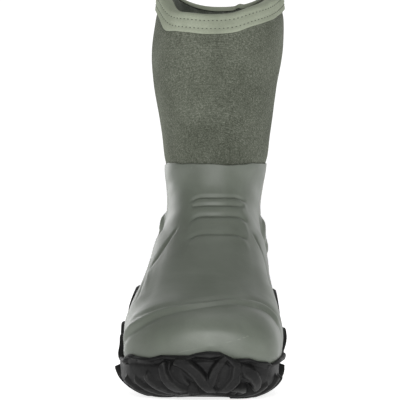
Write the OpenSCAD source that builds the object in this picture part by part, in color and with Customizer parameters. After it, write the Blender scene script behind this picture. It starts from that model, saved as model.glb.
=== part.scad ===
// Insulated hunting boot, right foot.
// Toe points along -Y, lateral side is -X, ground is Z = 0, millimetres.
// Every layer is a patch of one lofted boot surface, taken at its own depth below the outside.

/* [Topline] */
// Height of the rim at the front of the shaft
rim_z = 296; // [285:1:302]
// How much higher the rim stands at its two sides
rim_lift = 18; // [0:1:24]
// Extra height of the topline at the back
rim_back = 14; // [0:1:18]
// Height of the rubber shell's top edge
shell_top = 175; // [168:1:185]
// Height of the topline binding on each side of the rim
bind_h = 17; // [12:1:22]

/* [Wall] */
// Thickness of the rubber shell around the foot
shell_t = 2.8; // [2:0.1:2.8]
// Thickness of the rubber shell at the ankle collar
collar_t = 1.6; // [1.2:0.1:1.6]
// Depth of the foam's inner face below the outside
foam_in = 6.9; // [6:0.1:6.9]
// Depth of the lining's inner face below the outside
lining_in = 9.3; // [8.5:0.1:9.5]
// Clearance left between cemented layers
gap = 0.15; // [0.1:0.05:0.2]

/* [Sole] */
// Depth of the tread lugs
lug_h = 6; // [5:0.5:6.5]
// Height of the outsole floor's upper face, which the midsole stands on
floor_z = 9.5; // [9:0.5:10]
// Height that the outsole's wall reaches at the toe
wall_toe = 29; // [26:1:31]
// Height that the outsole's wall reaches at the heel
wall_heel = 44; // [38:1:48]

/* [Ankle flex] */
// Height of the ankle flex axis
flex_z = 140; // [138:1:142]
// Distance of the flex axis behind the origin
flex_y = 68; // [66:1:70]

/* [Hidden] */

// ---- loft stations: [front y, z, back y, z, lateral half width, medial half width, height of the widest line, upper exponent, lower exponent, ridge x]
ST = [
  [-154.0,  41, -154.0,  41,  0.0,  0.0, 0.45, 2.1, 2.2, 8.0],
  [-150.6,  53, -151.0,  31, 26.0, 26.0, 0.42, 2.2, 2.6, 8.0],
  [-142.0,  63, -143.0,  23, 42.4, 40.7, 0.37, 2.3, 3.2, 7.5],
  [-128.0,  70, -130.0,  19, 53.7, 49.5, 0.37, 2.4, 3.2, 6.5],
  [-110.0,  75, -112.0,  17, 61.8, 54.0, 0.36, 2.4, 3.1, 5.0],
  [ -88.0,  81,  -90.0,  17, 60.6, 57.5, 0.36, 2.35, 3.1, 3.5],
  [ -65.0,  90,  -66.0,  17, 59.1, 56.8, 0.38, 2.3, 3.1, 3.5],
  [ -43.0, 102,  -40.0,  19, 56.9, 53.7, 0.39, 2.3, 3.1, 4.0],
  [ -22.0, 117,   -4.0,  22, 53.0, 48.9, 0.40, 2.3, 3.1, 5.0],
  [  -5.0, 133,   42.0,  25, 49.6, 44.6, 0.44, 2.3, 3.1, 6.0],
  [   3.0, 144,   96.0,  27, 48.1, 42.7, 0.47, 2.35, 3.1, 7.0],
  [   6.5, 151,  137.0,  35, 44.8, 40.5, 0.50, 2.4, 3.0, 7.0],
  [   9.0, 157,  150.0,  60, 41.5, 38.2, 0.50, 2.5, 2.8, 7.0],
  [  10.5, 163,  148.0,  92, 39.1, 37.7, 0.50, 2.5, 2.5, 7.0],
  [  11.5, 169,  140.0, 123, 38.5, 37.4, 0.50, 2.5, 2.3, 7.0],
  [  12.0, 175,  135.0, 152, 39.6, 40.2, 0.50, 2.6, 2.3, 7.0],
  [  12.0, 184,  133.5, 184, 40.6, 42.0, 0.50, 2.6, 2.3, 7.5],
  [  10.0, 212,  136.0, 212, 45.4, 45.8, 0.50, 2.6, 2.3, 8.0],
  [   5.0, 240,  141.0, 240, 51.2, 48.7, 0.50, 2.6, 2.3, 9.0],
  [   0.0, 268,  145.5, 268, 53.9, 52.4, 0.50, 2.6, 2.3, 10.0],
  [  -2.0, 296,  147.5, 296, 50.6, 52.4, 0.50, 2.6, 2.3, 10.5],
  [  -2.0, 324,  147.5, 324, 48.1, 49.9, 0.50, 2.6, 2.3, 10.5]
];
NS = len(ST) - 1;
POLE_Y = ST[0][0];
POLE_Z = ST[0][1];
POLE_X = ST[0][9];

function lerp(a, b, u) = a + (b - a) * u;
function clamp01(u) = min(1, max(0, u));
function smooth(u) = let(c = clamp01(u)) c * c * (3 - 2 * c);
// value of a [key, value] table, straight between keys
function look(x, tab) = lookup(x, tab);

// Catmull-Rom interpolation of the stations
function cr(p0, p1, p2, p3, f) =
  0.5 * (2 * p1 + f * (p2 - p0) + f * f * (2 * p0 - 5 * p1 + 4 * p2 - p3) + f * f * f * (3 * p1 - p0 - 3 * p2 + p3));
function station(s) =
  let(c = min(NS - 1e-6, max(0, s)), i = floor(c), f = c - i,
      p1 = ST[i], p2 = ST[i + 1],
      p0 = i > 0 ? ST[i - 1] : 2 * p1 - p2,
      p3 = i + 2 <= NS ? ST[i + 2] : 2 * p2 - p1)
  cr(p0, p1, p2, p3, f);

function spow(x, e) = sign(x) * pow(abs(x), e);

// A point of the boot's surface: station s, angle t around the section, depth o below the outside.
function pt(s, t, o = 0) =
  let(q = station(s),
      nose = pow(clamp01(1 - s / 6), 1.3),
      dy = o * nose,
      H0 = norm([q[0] - q[2], q[1] - q[3]]),
      ux = H0 > 1e-6 ? (q[0] - q[2]) / H0 : 0,
      uz = H0 > 1e-6 ? (q[1] - q[3]) / H0 : 1,
      ov = o * min(1, H0 / 50),
      ol = o * min(1, q[4] / 45),
      om = o * min(1, q[5] / 45),
      H = H0 - 2 * ov,
      vw = q[6] * H,
      c = cos(t), n = sin(t),
      e = 2 / (n >= 0 ? q[7] : q[8]),
      x = q[9] + (c >= 0 ? q[5] - om : q[4] - ol) * spow(c, e),
      v = ov + vw + (n >= 0 ? (H - vw) : vw) * spow(n, e))
  [x, q[2] + ux * v + dy, q[3] + uz * v];

// Station at which the line of angle t meets the plane ny*y + nz*z = d; bisection between lo and hi.
function cut(t, o, ny, nz, d, lo, hi, k = 16) =
  k == 0 ? (lo + hi) / 2 :
  let(m = (lo + hi) / 2, p = pt(m, t, o))
  ny * p[1] + nz * p[2] < d ? cut(t, o, ny, nz, d, m, hi, k - 1) : cut(t, o, ny, nz, d, lo, m, k - 1);

// planes that bound the ankle flex zone: each passes a front and a back point [y, z]
LO_F = [-3, 134];  LO_B = [138, 122];
UP_F = [8, 158];   UP_B = [134, 139];
function plane_s(t, o, F, B, lo, hi) =
  let(ny = -(B[1] - F[1]), nz = B[0] - F[0], d = ny * F[0] + nz * F[1])
  cut(t, o, ny, nz, d, lo, hi);
function s_lo(t, o) = plane_s(t, o, LO_F, LO_B, 7.5, 15.5);
function s_up(t, o) = plane_s(t, o, UP_F, UP_B, 9, 17);
function s_top(t, o) = cut(t, o, 0, 1, shell_top, 12, 18);
// rim height round the section, and the station there; below is a distance under the rim
function rim_at(t) = rim_z + rim_lift * pow(cos(t), 2) + rim_back * pow((1 - sin(t)) / 2, 2);
function s_rim(t, o, below = 0) = cut(t, o, 0, 1, rim_at(t) - below, 15, 20.98);

// ---- closed meshes over two grids of points A (outside) and B (inside), each [row][column]
function quads(base, nr, nc, wrap, flip) = [
  for (i = [0 : nr - 2]) for (j = [0 : (wrap ? nc - 1 : nc - 2)])
    let(a = base + i * nc + j, b = base + i * nc + (j + 1) % nc,
        c = base + (i + 1) * nc + (j + 1) % nc, d = base + (i + 1) * nc + j)
    for (f = flip ? [[a, c, b], [a, d, c]] : [[a, b, c], [a, c, d]]) f];
function strip(pa, pb, flip) = [
  for (k = [0 : len(pa) - 2])
    for (f = flip ? [[pa[k], pb[k + 1], pa[k + 1]], [pa[k], pb[k], pb[k + 1]]]
                  : [[pa[k], pa[k + 1], pb[k + 1]], [pa[k], pb[k + 1], pb[k]]]) f];

// closed all round; pa and pb are pole points when the first row closes on the toe
module tube(A, B, pa = undef, pb = undef) {
  nr = len(A); nc = len(A[0]);
  PA = [for (r = A) for (p = r) p];
  PB = [for (r = B) for (p = r) p];
  nb = nr * nc;
  pole = !is_undef(pa);
  pts = concat(PA, PB, pole ? [pa, pb] : []);
  ring0 = [for (j = [0 : nc]) j % nc];
  ringN = [for (j = [0 : nc]) (nr - 1) * nc + j % nc];
  polyhedron(points = pts, convexity = 8, faces = concat(
    quads(0, nr, nc, true, false), quads(nb, nr, nc, true, true),
    strip(ringN, [for (k = ringN) k + nb], false),
    pole ? [for (j = [0 : nc - 1]) [2 * nb, (j + 1) % nc, j]] : strip(ring0, [for (k = ring0) k + nb], true),
    pole ? [for (j = [0 : nc - 1]) [2 * nb + 1, nb + j, nb + (j + 1) % nc]] : []));
}
// a patch with four edges
module patch(A, B) {
  nr = len(A); nc = len(A[0]);
  nb = nr * nc;
  pts = concat([for (r = A) for (p = r) p], [for (r = B) for (p = r) p]);
  top = [for (j = [0 : nc - 1]) j];
  bot = [for (j = [0 : nc - 1]) (nr - 1) * nc + j];
  lef = [for (i = [0 : nr - 1]) i * nc];
  rig = [for (i = [0 : nr - 1]) i * nc + nc - 1];
  polyhedron(points = pts, convexity = 8, faces = concat(
    quads(0, nr, nc, false, false), quads(nb, nr, nc, false, true),
    strip(bot, [for (k = bot) k + nb], false), strip(top, [for (k = top) k + nb], true),
    strip(rig, [for (k = rig) k + nb], true), strip(lef, [for (k = lef) k + nb], false)));
}
NC = 28;                       // columns round a layer
function ang(j) = 360 * j / NC + 90;
// rows of points for a layer that runs from the toe pole to the flex zone
function foot_rows(o, nr) = [for (i = [1 : nr]) [for (j = [0 : NC - 1]) let(t = ang(j)) pt(s_lo(t, o) * i / nr, t, o)]];
function band_rows(o, nr) = [for (i = [0 : nr]) [for (j = [0 : NC - 1]) let(t = ang(j)) pt(lerp(s_lo(t, o), s_up(t, o), 0.006 + 0.988 * i / nr), t, o)]];
function collar_rows(o, nr) = [for (i = [0 : nr]) [for (j = [0 : NC - 1]) let(t = ang(j)) pt(lerp(s_up(t, o), s_top(t, o), i / nr), t, o)]];
function fabric_rows(o, nr) = [for (i = [0 : nr]) [for (j = [0 : NC - 1]) let(t = ang(j))
  pt(lerp(cut(t, o, 0, 1, shell_top + 0.3, 12, 18), s_rim(t, o, 1.2), i / nr), t, o)]];
// the shaft's inner layers share the rows of the collar and of the knitted face
function shaft_rows(o) = let(f = fabric_rows(o, 8)) concat(collar_rows(o, 3), [for (i = [1 : 8]) f[i]]);
function pole_at(o) = [POLE_X, POLE_Y + o, POLE_Z];

module foot_layer(a, b, nr = 17) tube(foot_rows(a, nr), foot_rows(b, nr), pole_at(a), pole_at(b));
module band_layer(a, b, nr = 3) tube(band_rows(a, nr), band_rows(b, nr));

// Point of the foot layer's own facet grid: row i of NR counted from the toe, column j
NR = 17;
function gpt(i, j, o) = let(t = ang(j)) pt(s_lo(t, o) * i / NR, t, o);
// the same between grid points, on the facets themselves
function fpt(i, j, o) = let(a = min(NR - 1, floor(i)), b = floor(j), u = i - a, v = j - b)
  v < 1e-6 ? lerp(gpt(a, b, o), gpt(a + 1, b, o), u) :
  lerp(lerp(gpt(a, b, o), gpt(a + 1, b, o), u), lerp(gpt(a, b + 1, o), gpt(a + 1, b + 1, o), u), v);
// solid body of the boot on the same grid, a little outside the shell, used to trim the sole
module body(o_toe, o_rest) {
  R = [for (i = [1 : NR]) let(o = lerp(o_toe, o_rest, smooth((i - 7.2) / 1))) [for (j = [0 : NC - 1]) gpt(i, j, o)]];
  n = NR * NC;
  c = [for (k = [0 : 2]) (R[NR - 1][0][k] + R[NR - 1][NC / 2][k]) / 2];
  polyhedron(points = concat([for (r = R) for (p = r) p], [[POLE_X, POLE_Y + o_toe, POLE_Z], c]), convexity = 8, faces = concat(
    quads(0, NR, NC, true, false),
    [for (j = [0 : NC - 1]) [n, (j + 1) % NC, j]],
    [for (j = [0 : NC - 1]) [n + 1, (NR - 1) * NC + j, (NR - 1) * NC + (j + 1) % NC]]));
}
// an overlay on the outside: S, T are grids of stations and angles, A and B the depths of its two faces
module overlay(S, T, A, B) patch(
  [for (i = [0 : len(S) - 1]) [for (j = [0 : len(S[0]) - 1]) pt(S[i][j], T[i][j], A[i][j])]],
  [for (i = [0 : len(S) - 1]) [for (j = [0 : len(S[0]) - 1]) pt(S[i][j], T[i][j], B)]]);

RUBBER = [0.44, 0.46, 0.42];
BLACK = [0.09, 0.09, 0.09];
KNIT = [0.37, 0.39, 0.34];
TAPE = [0.58, 0.60, 0.53];

// ================= rubber shell =================
module shell_foot() color(RUBBER) foot_layer(0, shell_t);
module shell_ankle_panel() color(RUBBER) band_layer(0, collar_t);
module shell_collar() color(RUBBER) tube(collar_rows(0, 3), collar_rows(collar_t, 3));

// raised bars across the instep; each: height of its middle, half height, half width, droop of its ends
RIBS = [[148.5, 2.4, 19, 2.5], [141.2, 2.6, 20, 3], [133.0, 3.2, 22, 5], [119.5, 3.2, 24, 7]];
function front_s(z, lo = 5, hi = 16, k = 14) = k == 0 ? (lo + hi) / 2 :
  let(m = (lo + hi) / 2) pt(m, 90, 0)[2] < z ? front_s(z, m, hi, k - 1) : front_s(z, lo, m, k - 1);
module instep_rib(r) {
  n = 8; m = 4;
  S = [for (i = [0 : m]) [for (j = [0 : n]) let(u = 2 * j / n - 1)
    front_s(r[0] - r[3] * u * u + r[1] * (2 * i / m - 1) * (1 - 0.35 * u * u * u * u))]];
  T = [for (i = [0 : m]) [for (j = [0 : n]) let(u = 2 * j / n - 1) 90 + u * r[2] * 1.9]];
  A = [for (i = [0 : m]) [for (j = [0 : n]) let(u = 2 * j / n - 1, w = 2 * i / m - 1)
    -0.35 - 1.7 * pow(1 - w * w * w * w, 0.6) * pow(1 - pow(abs(u), 4), 0.6) - 0.3]];
  overlay(S, T, A, -0.5);
}
module instep_ribs() color(RUBBER) for (r = RIBS) instep_rib(r);

// toe bumper: a cap over the first rows of the shell's own grid
BUMP_ROWS = 7;
module toe_bumper() color(RUBBER) tube(
  [for (i = [1 : BUMP_ROWS]) [for (j = [0 : NC - 1]) gpt(i, j, i == BUMP_ROWS ? -0.9 : -1.8)]],
  [for (i = [1 : BUMP_ROWS]) [for (j = [0 : NC - 1]) gpt(i, j, -gap)]], pole_at(-1.8), pole_at(-gap));

// heel counter: round the back of the heel, above the sole's wall
module heel_counter() color(RUBBER) patch(
  [for (i = [14 : 16]) [for (j = [9 : 19]) gpt(i, j, -1.3)]],
  [for (i = [14 : 16]) [for (j = [9 : 19]) gpt(i, j, -gap)]]);

// side quarters, on the shell's columns: [column, first row, last row]
QUARTER = [[4, 11.0, 13.2], [4.4, 10.0, 14.2], [5, 8.9, 14.8], [6, 7.9, 14.6], [7, 7.7, 13.6], [8, 7.7, 12.6]];
module quarter(side) {
  m = 12;
  Q = side > 0 ? [for (k = [len(QUARTER) - 1 : -1 : 0]) [28 - QUARTER[k][0], QUARTER[k][1], QUARTER[k][2]]] : QUARTER;
  n = len(Q) - 1;
  A = [for (i = [0 : m]) [for (k = [0 : n]) fpt(lerp(Q[k][1], Q[k][2], i / m), Q[k][0], (i == 0 || i == m || k == 0 || k == n) ? -0.9 : -1.4)]];
  B = [for (i = [0 : m]) [for (k = [0 : n]) fpt(lerp(Q[k][1], Q[k][2], i / m), Q[k][0], -0.55)]];
  patch(A, B);
}
module quarter_lateral() color(RUBBER) quarter(-1);
module quarter_medial() color(RUBBER) quarter(1);

// ankle guards: ribbed pads over the ankle bones
module ankle_guard(side) {
  n = 8; m = 8;
  S = [for (i = [0 : m]) [for (j = [0 : n]) let(v = 2 * j / n - 1) 12.35 + 0.62 * (2 * i / m - 1) * sqrt(1.15 - v * v)]];
  T = [for (i = [0 : m]) [for (j = [0 : n]) let(v = 2 * j / n - 1) side > 0 ? 19 * v - 5 : 180 - 19 * v]];
  A = [for (i = [0 : m]) [for (j = [0 : n]) let(v = 2 * j / n - 1, u = 2 * i / m - 1)
    -0.6 - 4.2 * pow(1 - v * v, 0.5) * pow(1 - pow(abs(u), 4), 0.5) + (j % 2 == 1 ? 0.5 : 0) * (1 - u * u)]];
  if (side > 0) overlay(S, T, A, -0.3);
  else overlay([for (i = [m : -1 : 0]) S[i]], [for (i = [m : -1 : 0]) T[i]], [for (i = [m : -1 : 0]) A[i]], -0.3);
}
module ankle_guard_lateral() color(RUBBER) ankle_guard(-1);
module ankle_guard_medial() color(RUBBER) ankle_guard(1);

// ================= bootie =================
module foam_foot() color([0.13, 0.13, 0.13]) foot_layer(shell_t + gap, foam_in);
module foam_ankle_panel() color([0.13, 0.13, 0.13]) band_layer(collar_t + gap, foam_in);
module foam_shaft() color([0.13, 0.13, 0.13]) tube(shaft_rows(collar_t + gap), shaft_rows(foam_in));
module lining_foot() color([0.24, 0.25, 0.22]) foot_layer(foam_in + gap, lining_in);
module lining_ankle_panel() color([0.24, 0.25, 0.22]) band_layer(foam_in + gap, lining_in);
module lining_shaft() color([0.24, 0.25, 0.22]) tube(shaft_rows(foam_in + gap), shaft_rows(lining_in));
// knitted outer face, from the shell's top edge to the rim
module shaft_fabric() color(KNIT) tube(fabric_rows(0, 8), fabric_rows(collar_t, 8));

// topline binding: one folded tape over the rim; [distance below the rim, depth]
BIND = [[bind_h, -0.35], [bind_h, -1.25], [1.5, -1.35], [-1.0, -0.4], [-1.7, 3.0], [-1.7, 6.2], [-1.0, lining_in + 0.3],
  [1.5, lining_in + 1.3], [bind_h, lining_in + 1.2], [bind_h, lining_in + 0.4], [0.9, lining_in + 0.4], [0.9, -0.3]];
// a closed ring swept round the rim from a loop of [below, depth]
module rim_ring(loop) {
  n = len(loop);
  pts = [for (j = [0 : NC - 1]) for (k = [0 : n - 1]) let(t = ang(j)) pt(s_rim(t, loop[k][1], loop[k][0]), t, loop[k][1])];
  polyhedron(points = pts, convexity = 8, faces = [
    for (j = [0 : NC - 1]) for (k = [0 : n - 1])
      let(a = j * n + k, b = j * n + (k + 1) % n, c = ((j + 1) % NC) * n + (k + 1) % n, d = ((j + 1) % NC) * n + k)
      for (f = [[a, c, b], [a, d, c]]) f]);
}
module topline_binding() color(TAPE) rim_ring(BIND);
function thread_loop(b) = [[b + 0.35, -1.5], [b + 0.35, -2.1], [b - 0.35, -2.1], [b - 0.35, -1.5]];
module binding_stitch_upper() color([0.30, 0.31, 0.27]) rim_ring(thread_loop(6));
module binding_stitch_lower() color([0.30, 0.31, 0.27]) rim_ring(thread_loop(12.5));

// seam tapes up the back of the shaft, outside and inside
module back_seam_tape() color(KNIT) patch(
  [for (i = [0 : 6]) [for (t = [266, 270, 274]) pt(lerp(cut(t, -0.8, 0, 1, shell_top + 1, 12, 18), s_rim(t, -0.8, bind_h + 1), i / 6), t, -0.8)]],
  [for (i = [0 : 6]) [for (t = [266, 270, 274]) pt(lerp(cut(t, -0.15, 0, 1, shell_top + 1, 12, 18), s_rim(t, -0.15, bind_h + 1), i / 6), t, -0.15)]]);
module inner_seam_tape() let(a = lining_in + 0.4, b = lining_in + 1.2) color([0.16, 0.17, 0.15]) patch(
  [for (i = [0 : 7]) [for (j = [13, 14, 15]) let(t = ang(j)) pt(lerp(s_up(t, a) + 0.1, s_rim(t, a, bind_h + 1), i / 8), t, a)]],
  [for (i = [0 : 7]) [for (j = [13, 14, 15]) let(t = ang(j)) pt(lerp(s_up(t, b) + 0.1, s_rim(t, b, bind_h + 1), i / 8), t, b)]]);

// ================= inside the bootie =================
// A plate that lies on the lining: h0 and h1 are its lower and upper heights above the lining
module plate(h0, h1) {
  o = lining_in + 0.2;
  rows = [2.2, 3, 4, 5, 6, 7, 8, 9, 10, 11, 12, 13, 13.6];
  P = [for (i = rows) [for (j = [10 : 18]) fpt(i, j, o)]];
  patch([for (r = P) [for (p = r) p + [0, 0, h0]]], [for (r = P) [for (p = r) p + [0, 0, h1]]]);
}
module lasting_board() color([0.62, 0.50, 0.34]) plate(0, 1.8);
module thermal_felt() color([0.70, 0.70, 0.68]) plate(1.95, 4.0);
module footbed_foam() color([0.20, 0.21, 0.20]) plate(4.15, 9.0);
module footbed_cover() color([0.30, 0.31, 0.27]) plate(9.1, 10.1);

// ================= sole =================
// outline of the outsole, lateral and medial points paired from the toe to the heel
OL = [[3, -160], [-10, -158.3], [-24, -154], [-36.5, -147.5], [-47.5, -137], [-57, -122], [-62.5, -104], [-64.6, -84], [-62, -62], [-56.5, -38],
  [-49.5, -12], [-44, 16], [-40, 44], [-38.5, 72], [-36.5, 98], [-33, 120], [-26.5, 138], [-16, 151], [-3, 158], [5, 160]];
OR = [[12, -160], [24, -158], [37, -153], [48, -145], [56, -133], [60, -118], [62, -100], [62.5, -80], [61, -58], [58, -36],
  [54, -12], [50, 16], [48, 44], [47.5, 72], [46.5, 98], [43.5, 120], [38, 138], [28, 151], [17, 158], [9, 160]];
function dir2(P, k) = let(a = P[max(0, k - 1)], b = P[min(len(P) - 1, k + 1)]) (b - a) / norm(b - a);
// outward normals; side is -1 lateral, 1 medial
function nrm(P, k, side) = (k == 0) ? [0, -1] : (k == len(P) - 1) ? [0, 1] : let(d = dir2(P, k)) side * [d[1], -d[0]];
function spring(y) = (y < -100 ? 9 * pow((-100 - y) / 60, 2) : 0) + (y > 130 ? 2 * pow((y - 130) / 30, 2) : 0);
function wall_top(y) = lookup(y, [[-160, wall_toe + 1.5], [-148, wall_toe - 1], [-120, wall_toe - 2], [-90, wall_toe + 1], [-40, wall_toe + 5],
  [20, wall_toe + 8], [90, wall_heel - 4], [130, wall_heel - 2], [148, wall_heel + 2], [160, wall_heel + 4]]);
// one cross-section: k is the pair, rings are [height, inset] from the floor up, zc the flat top
function section(k, rings) = let(
    L = [for (r = rings) let(p = OL[k] - nrm(OL, k, -1) * r[1]) [p[0], p[1], r[2] + r[0] * 1]],
    R = [for (r = rings) let(p = OR[k] - nrm(OR, k, 1) * r[1]) [p[0], p[1], r[2] + r[0] * 1]],
    b = len(rings) - 1, mid = [for (f = [0.25, 0.5, 0.75]) L[0] * (1 - f) + R[0] * f],
    topm = (L[b] + R[b]) / 2)
  concat([for (i = [b : -1 : 0]) L[i]], mid, R, [topm]);
// rings for the cup and for the midsole at pair k: [height above ring base, inset, base z]
function cup_rings(k) = let(y = (OL[k][1] + OR[k][1]) / 2, s = spring(y), top = wall_top(y))
  [[lug_h, 5.5, s], [lug_h + 4, 1.6, s], [lug_h + 11, 0.2, s], [top - 5, 0.6, 0], [top, 2.6, 0]];
function fill_rings(k, z0, inset, drop) = let(y = (OL[k][1] + OR[k][1]) / 2, s = spring(y),
    full = wall_top(y) + 3, za = z0 + 4 + s, h = wall_top(y) - drop)
  [[z0, inset + 4, s], [z0 + 4, inset + 1, s], [h, inset + (full - h) / (full - za), 0]];
module sole_solid(Q) {
  nr = len(Q); nc = len(Q[0]);
  polyhedron(points = [for (r = Q) for (p = r) p], convexity = 8, faces = concat(
    quads(0, nr, nc, true, false),
    [for (j = [0 : nc - 3]) [nc - 1, j + 1, j]],
    [for (j = [0 : nc - 3]) let(b = (nr - 1) * nc) [b + nc - 1, b + j, b + j + 1]]));
}
// tread lugs: [x, y, turn, length across, width along]
LUGS = [
  // toe
  [-9, -143, -62, 22, 10], [27, -143, 62, 22, 10], [9, -127, 0, 24, 10],
  // forefoot rim
  [-44, -124, -32, 20, 12], [52, -118, 30, 17, 12], [-52, -101, -14, 20, 13], [50.5, -94, 12, 20, 13],
  [-53, -78, 2, 20, 13], [51, -70, -4, 19, 13], [-50.5, -55, 8, 20, 13], [49.5, -47, -8, 18, 13],
  // forefoot centre chevrons
  [-20, -109, 28, 24, 9], [26, -107, -28, 24, 9], [-22, -86, 28, 26, 9], [25, -83, -28, 26, 9],
  [-20, -62, 28, 24, 9], [23, -60, -28, 24, 9], [1, -43, 0, 26, 9],
  // arch
  [-40, -26, 10, 20, 11], [45, -22, -8, 16, 11], [-34, 0, 8, 20, 10], [41, 4, -4, 16, 10], [3, -14, 0, 30, 8], [4, 10, 0, 30, 8],
  // heel
  [-29, 40, 10, 19, 12], [38.5, 40, -8, 17, 12], [-29, 64, 2, 18, 13], [38.5, 64, -2, 17, 13], [-27.5, 88, 0, 18, 13], [38, 88, 0, 17, 13],
  [-24.5, 111, -10, 18, 13], [35.5, 111, 10, 17, 13], [-15, 134, -38, 18, 12], [28, 134, 38, 18, 12], [7, 143, 0, 16, 12],
  [7, 52, 0, 30, 9], [7, 76, 0, 30, 9], [7, 100, 0, 30, 9], [7, 121, 0, 22, 9]];
module lug(q) translate([q[0], q[1], spring(q[1])]) rotate(q[2]) linear_extrude(lug_h + 1)
  polygon([[-q[3] / 2, -q[4] / 2 + 2], [-q[3] / 2 + 3, -q[4] / 2], [q[3] / 2 - 3, -q[4] / 2], [q[3] / 2, -q[4] / 2 + 2],
    [q[3] / 2, q[4] / 2 - 2], [q[3] / 2 - 3, q[4] / 2], [-q[3] / 2 + 3, q[4] / 2], [-q[3] / 2, q[4] / 2 - 2]]);
// claws of the wall that climb the sides: [first station, last, peak station, base angle, peak angle]
CLAWS_L = [[5.2, 6.9, 6.3, -16, 10], [6.7, 8.7, 7.6, -28, 28], [8.7, 10.4, 9.6, -46, 0]];
CLAWS_M = [[5.6, 7.0, 6.5, -16, 4], [7.0, 8.8, 8.0, -28, 20], [8.9, 10.5, 9.8, -46, -2]];
module claw(q, side, g = 0) {
  m = 6; n = 4;
  SS = [for (i = [0 : m]) lerp(q[0] - g * 0.04, q[1] + g * 0.04, i / m)];
  up = [for (s = SS) lerp(q[3] + 6, q[4], pow(clamp01(s < q[2] ? (s - q[0]) / (q[2] - q[0]) : (q[1] - s) / (q[1] - q[2])), 0.8)) + 2 * g];
  S = [for (i = [0 : m]) [for (j = [0 : n]) SS[i]]];
  T = [for (i = [0 : m]) [for (j = [0 : n]) let(t = lerp(q[3] - 2 * g, up[i], j / n)) side > 0 ? t : 180 - t]];
  A = [for (i = [0 : m]) [for (j = [0 : n]) ((j == n || i == 0 || i == m) ? -3.0 : side > 0 ? -3.85 : -4.8) - 0.4 * g]];
  if (side > 0) overlay(S, T, A, -1.5 + 0.4 * g);
  else overlay([for (i = [m : -1 : 0]) S[i]], [for (i = [m : -1 : 0]) T[i]], [for (i = [m : -1 : 0]) A[i]], -1.5 + 0.4 * g);
}
module claws(g = 0) {
  for (q = CLAWS_L) claw(q, -1, g);
  for (q = CLAWS_M) claw(q, 1, g);
}
module outsole() color(BLACK) resize([0, 0, 0]) difference() {
  union() {
    difference() {
      sole_solid([for (k = [0 : len(OL) - 1]) section(k, cup_rings(k))]);
      sole_solid([for (k = [1 : len(OL) - 2]) section(k, fill_rings(k, floor_z, 4, -3))]);
    }
    for (q = LUGS) lug(q);
    claws();
  }
  body(-2.5, -2.1);
}
// steel bar of the shank; g is clearance and up is how far its channel is open above it
module shank_bar(g = 0, up = 0) translate([6, -42, 14.4]) rotate([3.6, 0, 0]) translate([-11 - g, -g, -g]) cube([22 + 2 * g, 118 + 2 * g, 1.4 + 2 * g + up]);
module shank() color([0.55, 0.56, 0.58]) shank_bar();
module midsole() color([0.24, 0.25, 0.26]) resize([0, 0, 0]) difference() {
  sole_solid([for (k = [2 : len(OL) - 3]) section(k, fill_rings(k, floor_z + 0.1, 4.2, 4))]);
  body(-2.5, -2.1);
  claws(1);
  shank_bar(0.15, 8);
}

outsole();
midsole();
shank();
shell_foot();
shell_ankle_panel();
shell_collar();
instep_ribs();
toe_bumper();
heel_counter();
quarter_lateral();
quarter_medial();
ankle_guard_lateral();
ankle_guard_medial();
foam_foot();
foam_ankle_panel();
foam_shaft();
lining_foot();
lining_ankle_panel();
lining_shaft();
shaft_fabric();
topline_binding();
binding_stitch_upper();
binding_stitch_lower();
back_seam_tape();
inner_seam_tape();
lasting_board();
thermal_felt();
footbed_foam();
footbed_cover();
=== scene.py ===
import math
import bpy
import numpy as np
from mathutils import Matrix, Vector
from mathutils.bvhtree import BVHTree


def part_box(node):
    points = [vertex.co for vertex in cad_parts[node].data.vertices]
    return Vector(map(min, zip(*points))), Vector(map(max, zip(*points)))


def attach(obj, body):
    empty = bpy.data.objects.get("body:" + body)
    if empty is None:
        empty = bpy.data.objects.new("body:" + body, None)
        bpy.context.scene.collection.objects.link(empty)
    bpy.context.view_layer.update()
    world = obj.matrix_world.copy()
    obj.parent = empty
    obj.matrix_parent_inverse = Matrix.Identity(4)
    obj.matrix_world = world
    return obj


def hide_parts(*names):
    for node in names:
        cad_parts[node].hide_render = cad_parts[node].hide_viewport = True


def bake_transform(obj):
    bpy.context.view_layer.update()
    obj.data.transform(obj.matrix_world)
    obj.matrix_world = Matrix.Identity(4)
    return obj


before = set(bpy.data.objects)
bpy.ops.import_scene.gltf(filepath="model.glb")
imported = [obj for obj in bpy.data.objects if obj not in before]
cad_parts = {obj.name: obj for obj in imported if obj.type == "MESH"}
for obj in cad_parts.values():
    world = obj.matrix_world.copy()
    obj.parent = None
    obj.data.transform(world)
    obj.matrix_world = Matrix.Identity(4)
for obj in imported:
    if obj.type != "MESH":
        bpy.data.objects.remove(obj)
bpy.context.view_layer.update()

MM = 0.001

# ------------------------------------------------------------------ camera, light and floor
scene = bpy.context.scene


def look(obj, target):
    obj.rotation_euler = (Vector(target) - obj.location).to_track_quat("-Z", "Y").to_euler()


AZ, EL, DIST = math.radians(1.5), math.radians(0.3), 2.2
TARGET = (-0.0030, 0.0, 0.1471)
cam_data = bpy.data.cameras.new("camera")
cam_data.sensor_width = 36
cam_data.lens = 251.9
camera = bpy.data.objects.new("camera", cam_data)
scene.collection.objects.link(camera)
camera.location = (TARGET[0] + DIST * math.sin(AZ) * math.cos(EL), TARGET[1] - DIST * math.cos(AZ) * math.cos(EL), TARGET[2] + DIST * math.sin(EL))
look(camera, TARGET)
scene.camera = camera


def area(name, loc, target, size, power, colour=(1, 1, 1), size_y=None):
    d = bpy.data.lights.new(name, "AREA")
    d.energy = power
    d.color = colour
    d.size = size
    if size_y:
        d.shape = "RECTANGLE"
        d.size_y = size_y
    o = bpy.data.objects.new(name, d)
    scene.collection.objects.link(o)
    o.location = loc
    look(o, target)
    return o


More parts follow.
